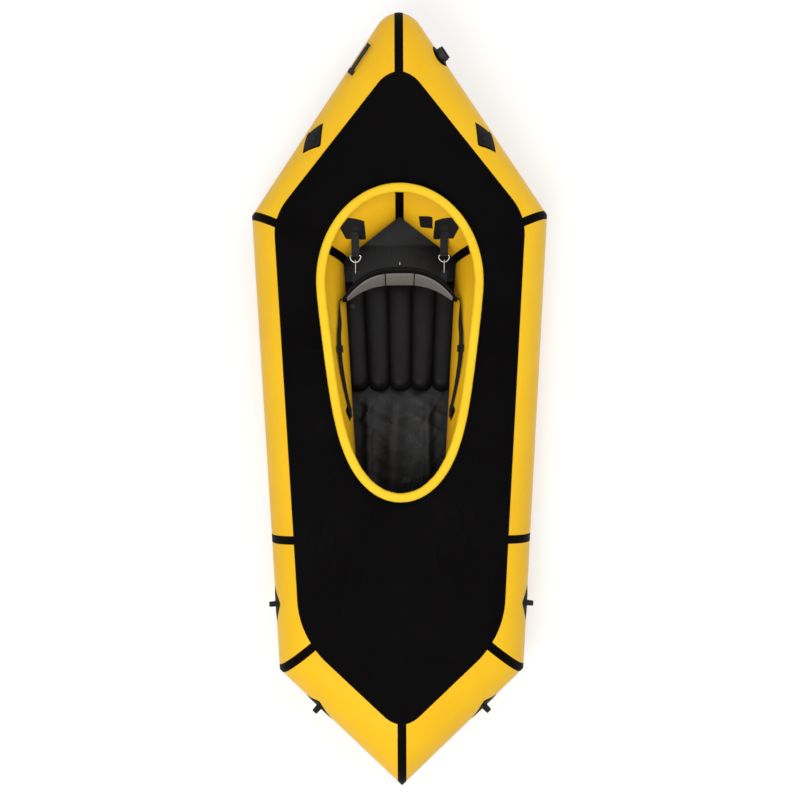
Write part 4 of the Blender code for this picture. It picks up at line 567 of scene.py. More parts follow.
def build_hull():
    """Eight panels of the tube, each a thin closed wall from seam to seam."""
    for name, rings in PANEL_RINGS.items():
        for side, sign in SIDES:
            node = f"{name}_{side}"
            mesh = tube_mesh(node, rings, sign)
            add_piece(node + "_skin", mesh, HULL_YELLOW, "hull", [node])


def both_sides(before, seam, after):
    """Rings across a seam, from the tape's edge in one panel to its edge in the next."""
    first = near_rings(seam, before, NEAR[::-1])
    second = near_rings(seam, after, NEAR[1:])
    return join_rings(first, second)


def across_middle(rings):
    """Rings from the left edge of a middle seam's tape to its right edge."""
    left = tuple(part * MIRROR if part.ndim > 1 else part for part in rings)
    return tuple(np.concatenate([l[::-1], r[1:]]) for l, r in zip(left, rings))


def build_tapes():
    """A tape over each seam: two across the middle of the boat and three on each side."""
    stern = across_middle(nose_rings(np.arcsin(NEAR / NOSE_RADIUS) / NOSE_TURN))
    bow = across_middle(near_rings(BOW, FRONT, NEAR))
    for name, rings in (("stern_seam_tape", stern), ("bow_seam_tape", bow)):
        add_piece(name + "_band", tape_band(name, rings), TAPE_BLACK, "hull", [name])
    seams = {
        "rear_corner_tape": (NOSE_END, REAR, SIDE),
        "side_seam_tape": (REAR, SIDE, FRONT),
        "front_corner_tape": (SIDE, FRONT, BOW),
    }
    for name, (before, seam, after) in seams.items():
        rings = both_sides(before, seam, after)
        for side, sign in SIDES:
            node = f"{name}_{side}"
            mesh = tape_band(node, rings, sign)
            add_piece(node + "_band", mesh, TAPE_BLACK, "hull", [node])


# Floor


def half_columns(density):
    """Every ring of the right half from stern to bow, each seam once."""
    groups = []
    for index, (name, count) in enumerate(PANEL_COUNTS.items()):
        rings = panel_rings(name, count * density)
        groups.append(tuple(part[0 if index == 0 else 1 :] for part in rings))
    return join_rings(*groups)


COLUMNS = half_columns(1)


def crumple(x, y):
    """Height of soft folds in slack sheet: ridges where slow waves in three directions cross."""
    a = np.sin(31 * x + 19 * y + 2.1 * np.sin(17 * y + 1.0))
    b = np.sin(-24 * x + 33 * y + 1.7 * np.sin(23 * x))
    c = np.sin(57 * y + 9 * x + 1.2 * np.sin(29 * x + 2))
    return (1 - np.abs(a)) ** 2 * 0.5 + (1 - np.abs(b)) ** 2 * 0.35 + (1 - np.abs(c)) ** 2 * 0.25


def build_floor():
    """The floor: up round the underside of the tube, and across between its two sides."""
    rings = half_columns(3)
    wrap = np.linspace(-math.pi / 3, -math.pi / 2, 9)
    edge = skin(rings, wrap, 1.6 * MM)
    foot = edge[:, -1:, :]
    shares = np.linspace(0, 1, 54)[1:]
    flat = foot * np.array([0, 1, 1]) + foot * np.array([1, 0, 0]) * (1 - shares)[None, :, None]
    half = np.concatenate([edge, flat], axis=1)
    full = np.concatenate([half, mirrored(half[:, -2::-1])], axis=1)
    x, y = full[..., 0], full[..., 1]
    inner = smooth_step(np.abs(full[..., 2] - foot[..., 2]), 0.004, 0.0)
    loose = inner * (1 - smooth_step(np.abs(x), 0.11, 0.16))
    loose = loose * (1 - smooth_step(np.abs(y + 0.2), 0.30, 0.45))
    bulge = 0.9 * hump(x + 0.018 - 0.06 * (y + 0.1), 0, 0.030)
    bulge = bulge + 0.7 * hump(x, 0.092, 0.016) + 0.7 * hump(x, -0.108, 0.016)
    swell = bulge * smooth_step(-y, -0.02, 0.06)
    crushed = 0.35 + 0.65 * hump(y, -0.055, 0.060)
    top = full.copy()
    top[..., 2] += loose * (8 * MM * swell + 6 * MM * crushed * crumple(x, y))
    drop = np.array([0, 0, -FLOOR_THICKNESS])
    middle = (rings[0] + rings[1]) / 2
    outwards = unit(full - np.where(x[..., None] < 0, mirrored(middle)[:, None], middle[:, None]))
    under = full + np.where((inner > 0.5)[..., None], drop, outwards * FLOOR_THICKNESS)
    under[..., 2] = np.maximum(under[..., 2], 0.0)
    loop = over_and_under(top, under)
    mesh = closed_grid("floor", loop, loop[..., :2], wrap_rows=False)
    item = add_piece("floor_skin", mesh, FLOOR_BLACK, "hull", ["floor_sheet"])


# Places on the tube


class Spot:
    """A place on the skin between two rings: a step along, a step round and a lift from there."""

    def __init__(self, start, end, share, angle):
        self.start, self.end, self.share, self.angle = start, end, share, angle
        span = self.on(1.0, angle) - self.on(0.0, angle)
        self.length = np.linalg.norm(span)
        turn = math.radians(1)
        spread = self.on(share, angle + turn) - self.on(share, angle - turn)
        self.rate = np.linalg.norm(spread) / (2 * turn)
        self.skew = float(unit(span) @ unit(spread))

    def on(self, share, angle, lift=0.0):
        """Middle + (reach cos + height sin) grown by the lift, on the ring at a share."""
        s = np.asarray(share, float)[..., None]
        start, end = self.start, self.end
        outer = start[0] + (end[0] - start[0]) * s
        inner = start[1] + (end[1] - start[1]) * s
        half = start[2] + (end[2] - start[2]) * s
        a = np.asarray(angle, float)[..., None]
        rise = UPWARDS * half * np.sin(a)
        grow = 1 + np.asarray(lift, float)[..., None] / half
        return (outer + inner) / 2 + ((outer - inner) / 2 * np.cos(a) + rise) * grow

    def point(self, along=0.0, around=0.0, lift=0.0):
        """A step round is turned back along the tube by as much as the rings stand askew."""
        step = np.asarray(around, float) / math.sqrt(1 - self.skew**2)
        share = self.share + (np.asarray(along, float) - step * self.skew) / self.length
        return self.on(share, self.angle + step / self.rate, lift)

    def frame(self, lift=0.0):
        """Columns along the tube, across it and off its skin, with the origin at a lift."""
        along = unit(self.point(along=1e-3) - self.point(along=-1e-3))
        around = self.point(around=1e-3) - self.point(around=-1e-3)
        up = unit(np.cross(along, around))
        ring_middle = (self.on(self.share, 0.0) + self.on(self.share, math.pi)) / 2
        if up @ (self.point() - ring_middle) < 0:
            up = -up
        matrix = np.eye(4)
        matrix[:3, 0], matrix[:3, 1], matrix[:3, 2] = along, np.cross(up, along), up
        matrix[:3, 3] = self.point(lift=lift)
        return matrix


def spot_at(x, y):
    """The spot on the upper side over a plan point: the rings that it lies between, by the sign
    of its side of their plan lines, and its angle by its share of their reach."""
    outer, inner, _ = COLUMNS
    reach = (inner - outer)[:, :2]
    away = np.array([x, y]) - outer[:, :2]
    area = reach[:, 0] * away[:, 1] - reach[:, 1] * away[:, 0]
    index = int(np.nonzero(area[:-1] * area[1:] < 0)[0][0])
    share = area[index] / (area[index] - area[index + 1])
    start, end = one_ring(COLUMNS, index), one_ring(COLUMNS, index + 1)
    middle = sum((1 - share) * p + share * q for p, q in zip(start[:2], end[:2])) / 2
    back = ((1 - share) * (start[0] - start[1]) + share * (end[0] - end[1])) / 2
    cosine = (np.array([x, y]) - middle[:2]) @ back[:2] / (back[:2] @ back[:2])
    return Spot(start, end, share, math.acos(cosine))


# Carried shapes


def curve_through(points, count, cyclic=False):
    """Evenly spaced points of a smooth curve through a few, by cubic Hermite spans."""
    p = np.asarray(points, float)
    if cyclic:
        before, after, end = np.roll(p, 1, 0), np.roll(p, -2, 0), np.roll(p, -1, 0)
    else:
        whole = np.concatenate([[2 * p[0] - p[1]], p, [2 * p[-1] - p[-2]]])
        before, p, end, after = whole[:-3], whole[1:-2], whole[2:-1], whole[3:]
    t = np.linspace(0, 1, 16, endpoint=False)[None, :, None]
    slope_a, slope_b = (end - before)[:, None] / 2, (after - p)[:, None] / 2
    a, b = p[:, None], end[:, None]
    t2, t3 = t * t, t * t * t
    dense = (2 * t3 - 3 * t2 + 1) * a + (t3 - 2 * t2 + t) * slope_a
    dense = dense + (3 * t2 - 2 * t3) * b + (t3 - t2) * slope_b
    dense = dense.reshape(-1, dense.shape[-1])
    dense = np.concatenate([dense, dense[:1] if cyclic else end[-1:]])
    run = run_along(dense)
    return sampled(dense, run, np.linspace(0, run[-1], count, endpoint=not cyclic))


def path_tangents(path, cyclic=False):
    if cyclic:
        return unit(np.roll(path, -1, 0) - np.roll(path, 1, 0))
    return unit(np.gradient(path, axis=0))


def sweep(path, sides, section, cyclic=False):
    """A section of pairs, across and up, carried along a path whose across direction is given."""
    tangent = path_tangents(path, cyclic)
    across = unit(sides - tangent * np.sum(sides * tangent, -1, keepdims=True))
    up = np.cross(across, tangent)
    s = np.asarray(section)
    return path[:, None] + across[:, None] * s[..., 0, None] + up[:, None] * s[..., 1, None]


def strap_section(width, thickness, steps=7):
    """A flat strap with rounded edges: a long oval with its edges thinned, as woven webbing has."""
    x = np.linspace(-1, 1, 2 * steps + 1)
    half = thickness / 2 * np.sqrt(np.clip(1 - np.abs(x) ** 10, 0.09, 1))
    rib = 0.06 * thickness * np.cos(x * math.pi * 5)
    top = spread(x * width / 2, half + rib)
    under = spread(x[::-1] * width / 2, -half - rib)
    return np.concatenate([top, under])


def strap_mesh(name, path, sides, width, thickness):
    """A webbing strap along a path, with a map in metres along and across it."""
    section = strap_section(width, thickness)
    points = sweep(path, sides, section)
    uv = spread(run_along(path)[:, None], section[:, 0] + (section[:, 1] < 0) * 0.05)
    return closed_grid(name, points, uv, wrap_rows=False, caps=True)


def wire_mesh(name, path, plane, diameter, cyclic=False, sides=12):
    """A round wire that lies in one plane, its open ends closed by smaller and smaller circles."""
    angles = np.linspace(0, math.tau, sides, endpoint=False)
    circle = spread(np.cos(angles), np.sin(angles)) * diameter / 2
    if cyclic:
        section = circle
    else:
        tangent = path_tangents(path)
        ends = np.array([0.0, 0.4, 0.75, 0.93])[:, None] * diameter / 2
        start = path[0] + tangent[0] * (ends - diameter / 2) * 0.98
        stop = path[-1] - tangent[-1] * (ends[::-1] - diameter / 2) * 0.98
        size = np.sqrt(1 - np.array([1.0, 0.6, 0.25, 0.07]) ** 2 * 0.999)
        path = np.concatenate([start, path[1:-1], stop])
        size = np.concatenate([size, np.ones(len(path) - 8), size[::-1]])
        section = circle[None] * size[:, None, None]
    points = sweep(path, np.broadcast_to(plane, path.shape), section, cyclic)
    return closed_grid(name, points, wrap_rows=cyclic, caps=not cyclic)


def rounded_profile(profile, radius, steps=4):
    """A profile with each inner corner cut back and carried round on a quadratic arc."""
    p = np.asarray(profile, float)
    out = [p[0]]
    for before, corner, after in zip(p[:-2], p[1:-1], p[2:]):
        sides = np.linalg.norm(before - corner), np.linalg.norm(after - corner)
        near = min(radius, min(sides) * 0.45)
        a = corner + unit(before - corner) * near
        b = corner + unit(after - corner) * near
        t = np.linspace(0, 1, steps + 1)[:, None]
        out.extend((1 - t) ** 2 * a + 2 * t * (1 - t) * corner + t * t * b)
    out.append(p[-1])
    return np.array(out)


def turned_mesh(name, profile, matrix, radius=0.5 * MM, steps=72, closed=False, ribs=0, rib_depth=0.0):
    """A body turned round its own Z: the profile's corners rounded, its rim scalloped by ribs."""
    p = np.asarray(profile, float)
    if closed:
        middle = (p[0] + p[-1]) / 2
        p = np.concatenate([[middle], p, [middle]])
    p = rounded_profile(p, radius)
    if closed:
        p = p[:-1]
    angles = np.linspace(0, math.tau, steps, endpoint=False)
    radii, heights = p[:, :1], p[:, 1:]
    if ribs:
        rim = radii > radii.max() * 0.97
        radii = radii - rim * rib_depth * (0.5 + 0.5 * np.cos(angles * ribs)) ** 2
    local = spread(radii * np.cos(angles), radii * np.sin(angles), heights)
    return closed_grid(name, placed(local, matrix), wrap_rows=closed)


def block_mesh(name, low, high, matrix, bevel=0.6 * MM):
    """A rounded block: rings of a rounded rectangle that draw in towards both ends."""
    low, high = np.asarray(low, float), np.asarray(high, float)
    t = np.linspace(0, math.pi / 2, 5)
    inset = np.concatenate([bevel * (1 - np.sin(t)), bevel * (1 - np.sin(t[::-1]))])
    pull = bevel * (1 - np.cos(t))
    height = np.concatenate([low[2] + pull, high[2] - pull[::-1]])
    corner = np.linspace(0, math.tau, 33)[:-1] + math.tau / 64
    c = spread(np.cos(corner), np.sin(corner))
    reach = ((high - low)[:2] / 2 - inset[:, None])[:, None]
    core = np.maximum(reach - bevel, 0)
    xy = (low + high)[:2] / 2 + np.sign(c) * core + c * np.minimum(bevel, reach)
    local = spread(xy[..., 0], xy[..., 1], height[:, None])
    return closed_grid(name, placed(local, matrix), wrap_rows=False, caps=True)


def joined(name, *meshes):
    """One mesh that holds several closed bodies."""
    work = bmesh.new()
    for mesh in meshes:
        work.from_mesh(mesh)
    whole = bpy.data.meshes.new(name)
    work.to_mesh(whole)
    work.free()
    whole.shade_smooth()
    return whole


def flipped(mesh):
    """The same mesh on the left of the boat, its faces turned outwards again."""
    copy = mesh.copy()
    copy.transform(Matrix.Scale(-1, 4, Vector((1, 0, 0))))
    copy.flip_normals()
    return copy


def add_both(name, mesh, material, body, node):
    """The piece on the right and its mirror image on the left; body and node name the {side}."""
    for side, sign in SIDES:
        shape = mesh.copy() if sign > 0 else flipped(mesh)
        rider, stood_for = body.format(side=side), node.format(side=side)
        add_piece(f"{name}_{side}", shape, material, rider, [stood_for])


# Deck


def arc_corner(before, corner, after, radius, steps=24):
    """Points of the arc that rounds a corner of a plan line, touching both of its lines."""
    a, b = unit(before - corner), unit(after - corner)
    half = math.acos(np.clip(a @ b, -1, 1)) / 2
    centre = corner + unit(a + b) * radius / math.sin(half)
    start = corner + a * radius / math.tan(half) - centre
    end = corner + b * radius / math.tan(half) - centre
    turn = math.atan2(start[0] * end[1] - start[1] * end[0], start @ end)
    t = np.linspace(0, turn, steps + 1)[:, None]
    side = np.array([-start[1], start[0]])
    return centre + start * np.cos(t) + side * np.sin(t)


def inset_lines():
    """Corners of the deck's edge line: the hull's outer lines moved in, and where they cross."""
    tip = np.array([0.0, STERN_Y])
    corners = [tip, REAR[0][:2], SIDE[0][:2], FRONT[0][:2], BOW[0][:2]]
    insets = [0.0825, 0.083, 0.083, 0.145]
    lines = []
    for start, end, inset in zip(corners, corners[1:], insets):
        direction = unit(end - start)
        lines.append((start + np.array([direction[1], -direction[0]]) * inset, direction))
    crossings = []
    for (p, d), (q, e) in zip(lines, lines[1:]):
        share = np.linalg.solve(spread(d, -e), q - p)[0]
        crossings.append(p + d * share)
    p, d = lines[-1]
    bow = np.array([0.0, (p + d * (-p[0] / d[0]))[1]])
    return [np.array([0.0, STERN_Y - 0.231]), *crossings, bow]


def deck_edge_line():
    """The deck's welded edge in plan, from the round of the stern along the right side to the bow."""
    stern, rear, side, front, bow = inset_lines()
    flip = MIRROR[:2]
    return np.concatenate([
        arc_corner(rear * flip, stern, rear, 0.083),
        arc_corner(stern, rear, side, 0.160),
        arc_corner(rear, side, front, 0.400),
        arc_corner(side, front, bow, 0.250),
        arc_corner(front, bow, front * flip, 0.083),
    ])


def edge_angles(rings):
    """The angle at which each ring passes under the edge line: where the two cross in plan."""
    line = deck_edge_line()
    outer, inner, half = rings
    reach = (inner - outer)[:, None, :2]
    start, along = line[None, :-1], np.diff(line, axis=0)[None]
    away = start - outer[:, None, :2]
    spread = reach[..., 0] * along[..., 1] - reach[..., 1] * along[..., 0]
    spread = np.where(np.abs(spread) < 1e-12, 1e-12, spread)
    share = (away[..., 0] * along[..., 1] - away[..., 1] * along[..., 0]) / spread
    place = (away[..., 0] * reach[..., 1] - away[..., 1] * reach[..., 0]) / spread
    good = (share >= 0) & (share <= 1) & (place >= -1e-6) & (place <= 1 + 1e-6)
    first = np.argmax(good, axis=1)
    return np.arccos(1 - 2 * share[np.arange(len(half)), first])


def cockpit_half(steps=400):
    """Right half of the cockpit outline from rear to front: a quarter ellipse, then a side that
    narrows steadily and closes in a blunt nose."""
    a = np.linspace(0, math.pi / 2, steps, endpoint=False)
    rear_y = COCKPIT_WIDEST_Y + (COCKPIT_REAR_Y - COCKPIT_WIDEST_Y) * np.cos(a)
    rear = spread(COCKPIT_HALF_WIDTH * np.sin(a), rear_y)
    share = np.sin(np.linspace(0, math.pi / 2, steps + 1))
    narrow = 0.34 * share * share / (share + 0.08)
    nose = np.sqrt(np.clip(1 - share**6, 0, None))
    x = COCKPIT_HALF_WIDTH * (1 - narrow) * nose
    front = spread(x, COCKPIT_WIDEST_Y - (COCKPIT_WIDEST_Y - COCKPIT_FRONT_Y) * share)
    return np.concatenate([rear, front])


COCKPIT_HALF = cockpit_half()
COCKPIT_POLAR = np.arctan2(COCKPIT_HALF[:, 0], COCKPIT_CENTRE_Y - COCKPIT_HALF[:, 1])


def cockpit_at(polar):
    """Plan points and outward normals of the outline at angles about the cockpit's middle."""
    order = slice(None, None, -1)
    xs = np.interp(polar, COCKPIT_POLAR[order], COCKPIT_HALF[order, 0])
    ys = np.interp(polar, COCKPIT_POLAR[order], COCKPIT_HALF[order, 1])
    tangent = np.gradient(COCKPIT_HALF, axis=0)
    normal = unit(spread(-tangent[:, 1], tangent[:, 0]))
    nx = np.interp(polar, COCKPIT_POLAR[order], normal[order, 0])
    ny = np.interp(polar, COCKPIT_POLAR[order], normal[order, 1])
    return spread(xs, ys), unit(spread(nx, ny))


def coaming_base(y):
    """Height of the deck at the cockpit's edge, on a straight rise from its front to its rear."""
    share = (y - COCKPIT_FRONT_Y) / (COCKPIT_REAR_Y - COCKPIT_FRONT_Y)
    return COAMING_FRONT_Z + (COAMING_REAR_Z - COAMING_FRONT_Z) * share


def pulled_folds(girth, share):
    """Folds of cloth that is pulled to the coaming: ridges along the pull, the sum of waves round
    the boat. Short ones live near the coaming, long ones in the middle, and all end flat."""
    wander = 0.012 * np.sin(girth * 5.1)[:, None] * share[None, :]
    place = girth[:, None] + wander
    broad = (1 - np.abs(np.sin(place * 15.0 + 1.9 * np.sin(place * 3.7)))) ** 2
    narrow = (1 - np.abs(np.sin(place * 37.0 + 2.3 * np.sin(place * 7.1 + 1.0)))) ** 3
    strong = (0.5 + 0.5 * np.sin(girth * 2.9 + 1.2 * np.sin(girth * 7.3)))[:, None]
    middle = np.sin(share * math.pi)[None, :] ** 1.5
    near_rim = (np.sin(share**2 * math.pi) ** 1.5)[None, :]
    return broad * middle * 0.9 + narrow * near_rim * strong


def build_deck():
    """The deck: from its edge over the top of the tube, then pulled straight to the coaming.

    Each column leaves the tube where the line to the foot of the coaming is steepest."""
    rings = half_columns(4)
    edge = edge_angles(rings)
    crest = skin(rings, np.array([math.pi / 2]))[:, 0]
    polar = np.arctan2(crest[:, 0], COCKPIT_CENTRE_Y - crest[:, 1])
    polar[0], polar[-1] = math.pi, 0.0
    rim, normal = cockpit_at(polar)
    rim[[0, -1], 0] = 0.0
    base = coaming_base(rim[:, 1])
    foot = np.concatenate([rim + normal * (SKIRT_REACH + 0.008), base[:, None]], 1)
    hem = np.concatenate([rim + normal * SKIRT_REACH, base[:, None]], 1)

    shares = np.linspace(0, 1, 400)
    angles = edge[:, None] + (math.pi - edge[:, None]) * shares
    trial = skin(rings, angles, DECK_LIFT)
    direction = unit((rings[0] - rings[1])[:, :2])
    away = np.sum((trial[..., :2] - foot[:, None, :2]) * direction[:, None], -1)
    rise = trial[..., 2] - foot[:, None, 2]
    slope = np.where(away > DECK_LIFT, rise / np.maximum(away, 1e-4), -9)
    leave = np.take_along_axis(angles, slope.argmax(1)[:, None], 1)[:, 0]
    leave = np.maximum(leave, edge + math.radians(6))
    kernel = np.ones(17) / 17
    leave = np.convolve(np.pad(leave, 8, mode="edge"), kernel, "valid")

    rows = np.linspace(0, 1, 30)
    on_tube = edge[:, None] + (leave - edge)[:, None] * rows
    radius = (np.linalg.norm(rings[0] - rings[1], axis=1) / 2 + rings[2]) / 2
    inboard = (on_tube - edge[:, None]) * radius[:, None]
    lift = DECK_LIFT * (0.55 + 0.45 * smooth_step(inboard, 0.0, 0.010))
    tube_part = skin(rings, on_tube, lift - 0.5 * MM * hump(inboard, 0.012, 0.0016))
    t = np.linspace(0, 1, 26)[1:]
    span = tube_part[:, -1:] + (foot[:, None] - tube_part[:, -1:]) * t[None, :, None]
    girth = run_along(crest)
    width = np.linalg.norm(foot - tube_part[:, -1], axis=1)
    depth = np.minimum(width * 0.020, 3.4 * MM)[:, None]
    span[..., 2] += depth * pulled_folds(girth, t) - 1.2 * MM * np.sin(t * math.pi) ** 1.5
    half_grid = np.concatenate([tube_part, span, hem[:, None]], axis=1)
    half_grid[[0, -1], :, 0] = 0.0
    loop = over_and_under(half_grid, half_grid + UPWARDS * DECK_THICKNESS)
    step = np.linalg.norm(np.diff(half_grid, axis=1), axis=-1)
    down = np.concatenate([np.zeros((len(step), 1)), np.cumsum(step, axis=1)], axis=1)
    uv_half = spread(girth[:, None], down)
    uv = over_and_under(uv_half, uv_half)
    mesh = closed_grid("deck", both_halves(loop, mirrored(loop)), both_halves(uv, uv))
    item = add_piece("deck_cloth", mesh, DECK_BLACK, "hull", ["deck_sheet"])


# Coaming

AROUND_COCKPIT = 960
SEAM_TURN = 1.05


def coaming_line():
    """Evenly spaced plan points and normals of the whole outline."""
    whole = both_halves(COCKPIT_HALF, COCKPIT_HALF * MIRROR[:2])
    closed = np.concatenate([whole, whole[:1]])
    run = run_along(closed)
    places = np.linspace(0, run[-1], AROUND_COCKPIT, endpoint=False)
    line = sampled(closed, run, places)
    tangent = np.roll(line, -2, 0) - np.roll(line, 2, 0)
    return line, unit(spread(-tangent[:, 1], tangent[:, 0])), places


def ring_on_coaming(section, reach_change=0.0, height_change=0.0):
    """A section of outward reach and height over the deck, carried round the cockpit."""
    line, normal, places = coaming_line()
    s = np.asarray(section, float)
    reach = s[None, :, 0] + reach_change
    height = s[None, :, 1] + height_change
    plan = line[:, None] + normal[:, None] * reach[..., None]
    z = coaming_base(line[:, 1])[:, None] + height
    return np.concatenate([plan, z[..., None]], -1), places


def gathers(places, angles):
    """Short gathers across a band: waves along it of two lengths, deepest at its inner edge."""
    slow = np.sin(places * math.tau / 0.061 + 1.4 * np.sin(places * math.tau / 0.31))
    fast = np.sin(places * math.tau / 0.023 + 2.0 * np.sin(places * math.tau / 0.19))
    wave = (0.55 * slow + 0.45 * fast)[:, None]
    return wave * (0.35 + 0.65 * (0.5 - 0.5 * np.sin(angles))[None, :])


def build_coaming():
    """The skirt on the deck's edge, the sleeve over it with its slit below, and the rod inside."""
    half, drop, height = 0.75 * MM, 0.010, 0.020
    wide, tall, wall = 0.028, 0.019, 0.0012
    centre = height + tall / 2 - wall
    up = np.linspace(-drop, height, 16)
    skirt = there_and_back(spread(half, up), spread(-half, up))
    points, places = ring_on_coaming(skirt)
    ripple = 0.35 * MM * np.sin(places * math.tau / 0.034 + np.sin(places * 23))
    _, normal, _ = coaming_line()
    points[..., :2] += (normal * ripple[:, None])[:, None]
    mesh = closed_grid("skirt", points, spread(places[:, None], skirt[:, 1]))
    add_piece("coaming_skirt_cloth", mesh, SLEEVE_YELLOW, "hull", ["coaming_skirt"])

    slit = half + GAP
    outer_start = math.asin(slit / (wide / 2))
    inner_start = math.asin(slit / (wide / 2 - wall))
    a = np.linspace(outer_start, math.tau - outer_start, 40)
    b = np.linspace(math.tau - inner_start, inner_start, 28)
    outer = spread(wide / 2 * np.sin(a), centre - tall / 2 * np.cos(a))
    inner = spread((wide / 2 - wall) * np.sin(b), centre - (tall / 2 - wall) * np.cos(b))
    section = np.concatenate([outer, inner])
    turn = np.concatenate([a, b])
    fade = np.clip(np.minimum(turn, math.tau - turn) / 0.9, 0, 1)
    lift = 0.55 * MM * gathers(places, turn) * fade[None, :]
    lift = lift - 0.35 * MM * (hump(turn, SEAM_TURN, 0.07) + hump(turn, math.tau - SEAM_TURN, 0.07))
    points, places = ring_on_coaming(section, lift * np.sin(turn), -lift * np.cos(turn))
    mesh = closed_grid("sleeve", points, spread(places[:, None], turn * 0.012))
    add_piece("coaming_sleeve_cloth", mesh, SLEEVE_YELLOW, "hull", ["coaming_sleeve"])

    radius = 0.006
    c = np.linspace(0, math.tau, 20, endpoint=False)
    rod = spread(radius * np.cos(c), height + GAP + radius + radius * np.sin(c))
    points, places = ring_on_coaming(rod)
    mesh = closed_grid("rod", points)
    add_piece("coaming_rod_round", mesh, PLASTIC, "hull", ["coaming_rod"])
    thread_ring("coaming_stitching", SEAM_TURN, wide, tall, centre)


def thread_ring(name, turn, wide, tall, centre):
    """Stitches of a seam on the sleeve: short bent threads, one after another, on both sides."""
    line, normal, places = coaming_line()
    total = places[-1] + places[1]
    count = int(total / 0.0050)
    starts = np.arange(count) * total / count
    closed = np.concatenate([places, [total]])

    def on_line(values, where):
        return sampled(np.concatenate([values, values[:1]]), closed, where)

    rows = []
    for sign in (1.0, -1.0):
        for share in (0.08, 0.35, 0.62):
            where = (starts + share * total / count) % total
            plan = on_line(line, where)
            side = unit(on_line(normal, where))
            bulge = 0.35 * MM if share == 0.35 else -0.05 * MM
            reach = sign * (wide / 2 + bulge) * math.sin(turn)
            z = coaming_base(plan[:, 1]) + centre - (tall / 2 + bulge) * math.cos(turn)
            rows.append(np.concatenate([plan + side * reach, z[:, None]], 1))
    rows = np.array(rows).reshape(2, 3, count, 3)
    spine = rows.transpose(0, 2, 1, 3).reshape(-1, 3, 3)
    along = unit(np.gradient(spine, axis=1))
    across = unit(np.cross(along, UPWARDS))
    lift = np.cross(across, along)
    c = np.linspace(0, math.tau, 5, endpoint=False)
    size = np.array([0.5, 1.0, 0.5]) * 0.34 * MM
    ring = across[:, :, None] * np.cos(c)[:, None] + lift[:, :, None] * np.sin(c)[:, None]
    points = spine[:, :, None] + ring * size[:, None, None]
    each = grid_faces(3, 5, False)
    caps = [[4, 3, 2, 1, 0], [10, 11, 12, 13, 14]]
    base = np.arange(len(spine))[:, None, None] * 15
    quads = (each[None] + base).reshape(-1, 4).tolist()
    ends = (np.array(caps)[None] + base).reshape(-1, 5).tolist()
    mesh = mesh_of(name, points.reshape(-1, 3), quads + ends, merge=1e-7)
    add_piece(name, mesh, THREAD_YELLOW, "hull")


# Seat

CHAMBERS = 5
SEAT_FRONT_Y, SEAT_REAR_Y = 0.012, 0.377
SEAT_HEIGHT = 0.080
SEAT_BASE_Z = FLOOR_THICKNESS + GAP
FRONT_PITCH, REAR_PITCH = 0.0690, 0.0800
SEAT_END = 0.12


def seat_surface(share, column):
    """Half height of the pad, and plan place, at a share of its length and a place across it.

    Each of the five chambers is round: valley + (1 - valley) times the root of 1 - across
    squared. Its outer sides close like the edge of a cushion, and both ends close on a quarter
    circle."""
    chamber = np.clip(np.floor(column), 0, CHAMBERS - 1)
    across = 2 * (column - chamber) - 1
    length = SEAT_REAR_Y - SEAT_FRONT_Y
    depth = np.clip(np.minimum(share, 1 - share) * length / (SEAT_HEIGHT / 2), 0, 1)
    near_end = np.sqrt(1 - (1 - depth) ** 2)
    pitch = FRONT_PITCH + (REAR_PITCH - FRONT_PITCH) * share
    x = pitch * (chamber - (CHAMBERS - 1) / 2 + across / 2)
    circle = np.sqrt(1 - np.clip(across * across, 0, 1))
    setback = 0.026 * (1 - circle)
    y = SEAT_FRONT_Y + setback + (length - setback) * share
    round_top = 0.62 + 0.38 * circle
    outside = ((chamber == 0) & (across < 0)) | ((chamber == CHAMBERS - 1) & (across > 0))
    edge = (1 - np.clip(np.abs(across), 0, 1) ** 3.0) ** (1 / 3.0)
    half = SEAT_HEIGHT / 2 * np.where(outside, edge, round_top) * near_end
    valley = hump(np.abs(across), 1, 0.16) * ~outside
    pucker = np.sin(y * math.tau / 0.017 + chamber * 1.9 + 1.5 * np.sin(y * 41))
    half = half - 0.9 * MM * valley * (0.5 + 0.5 * pucker) * near_end
    fan = hump(depth, 0.55, 0.28) * (depth < 1)
    half = half + 0.5 * MM * fan * np.sin(across * 13 + chamber) * near_end
    slack = np.sin(x * 47 + 1.3 * np.sin(y * 31)) * np.sin(y * 39 + chamber)
    half = half + 0.5 * MM * slack * near_end
    return x, y, np.maximum(half, 0)


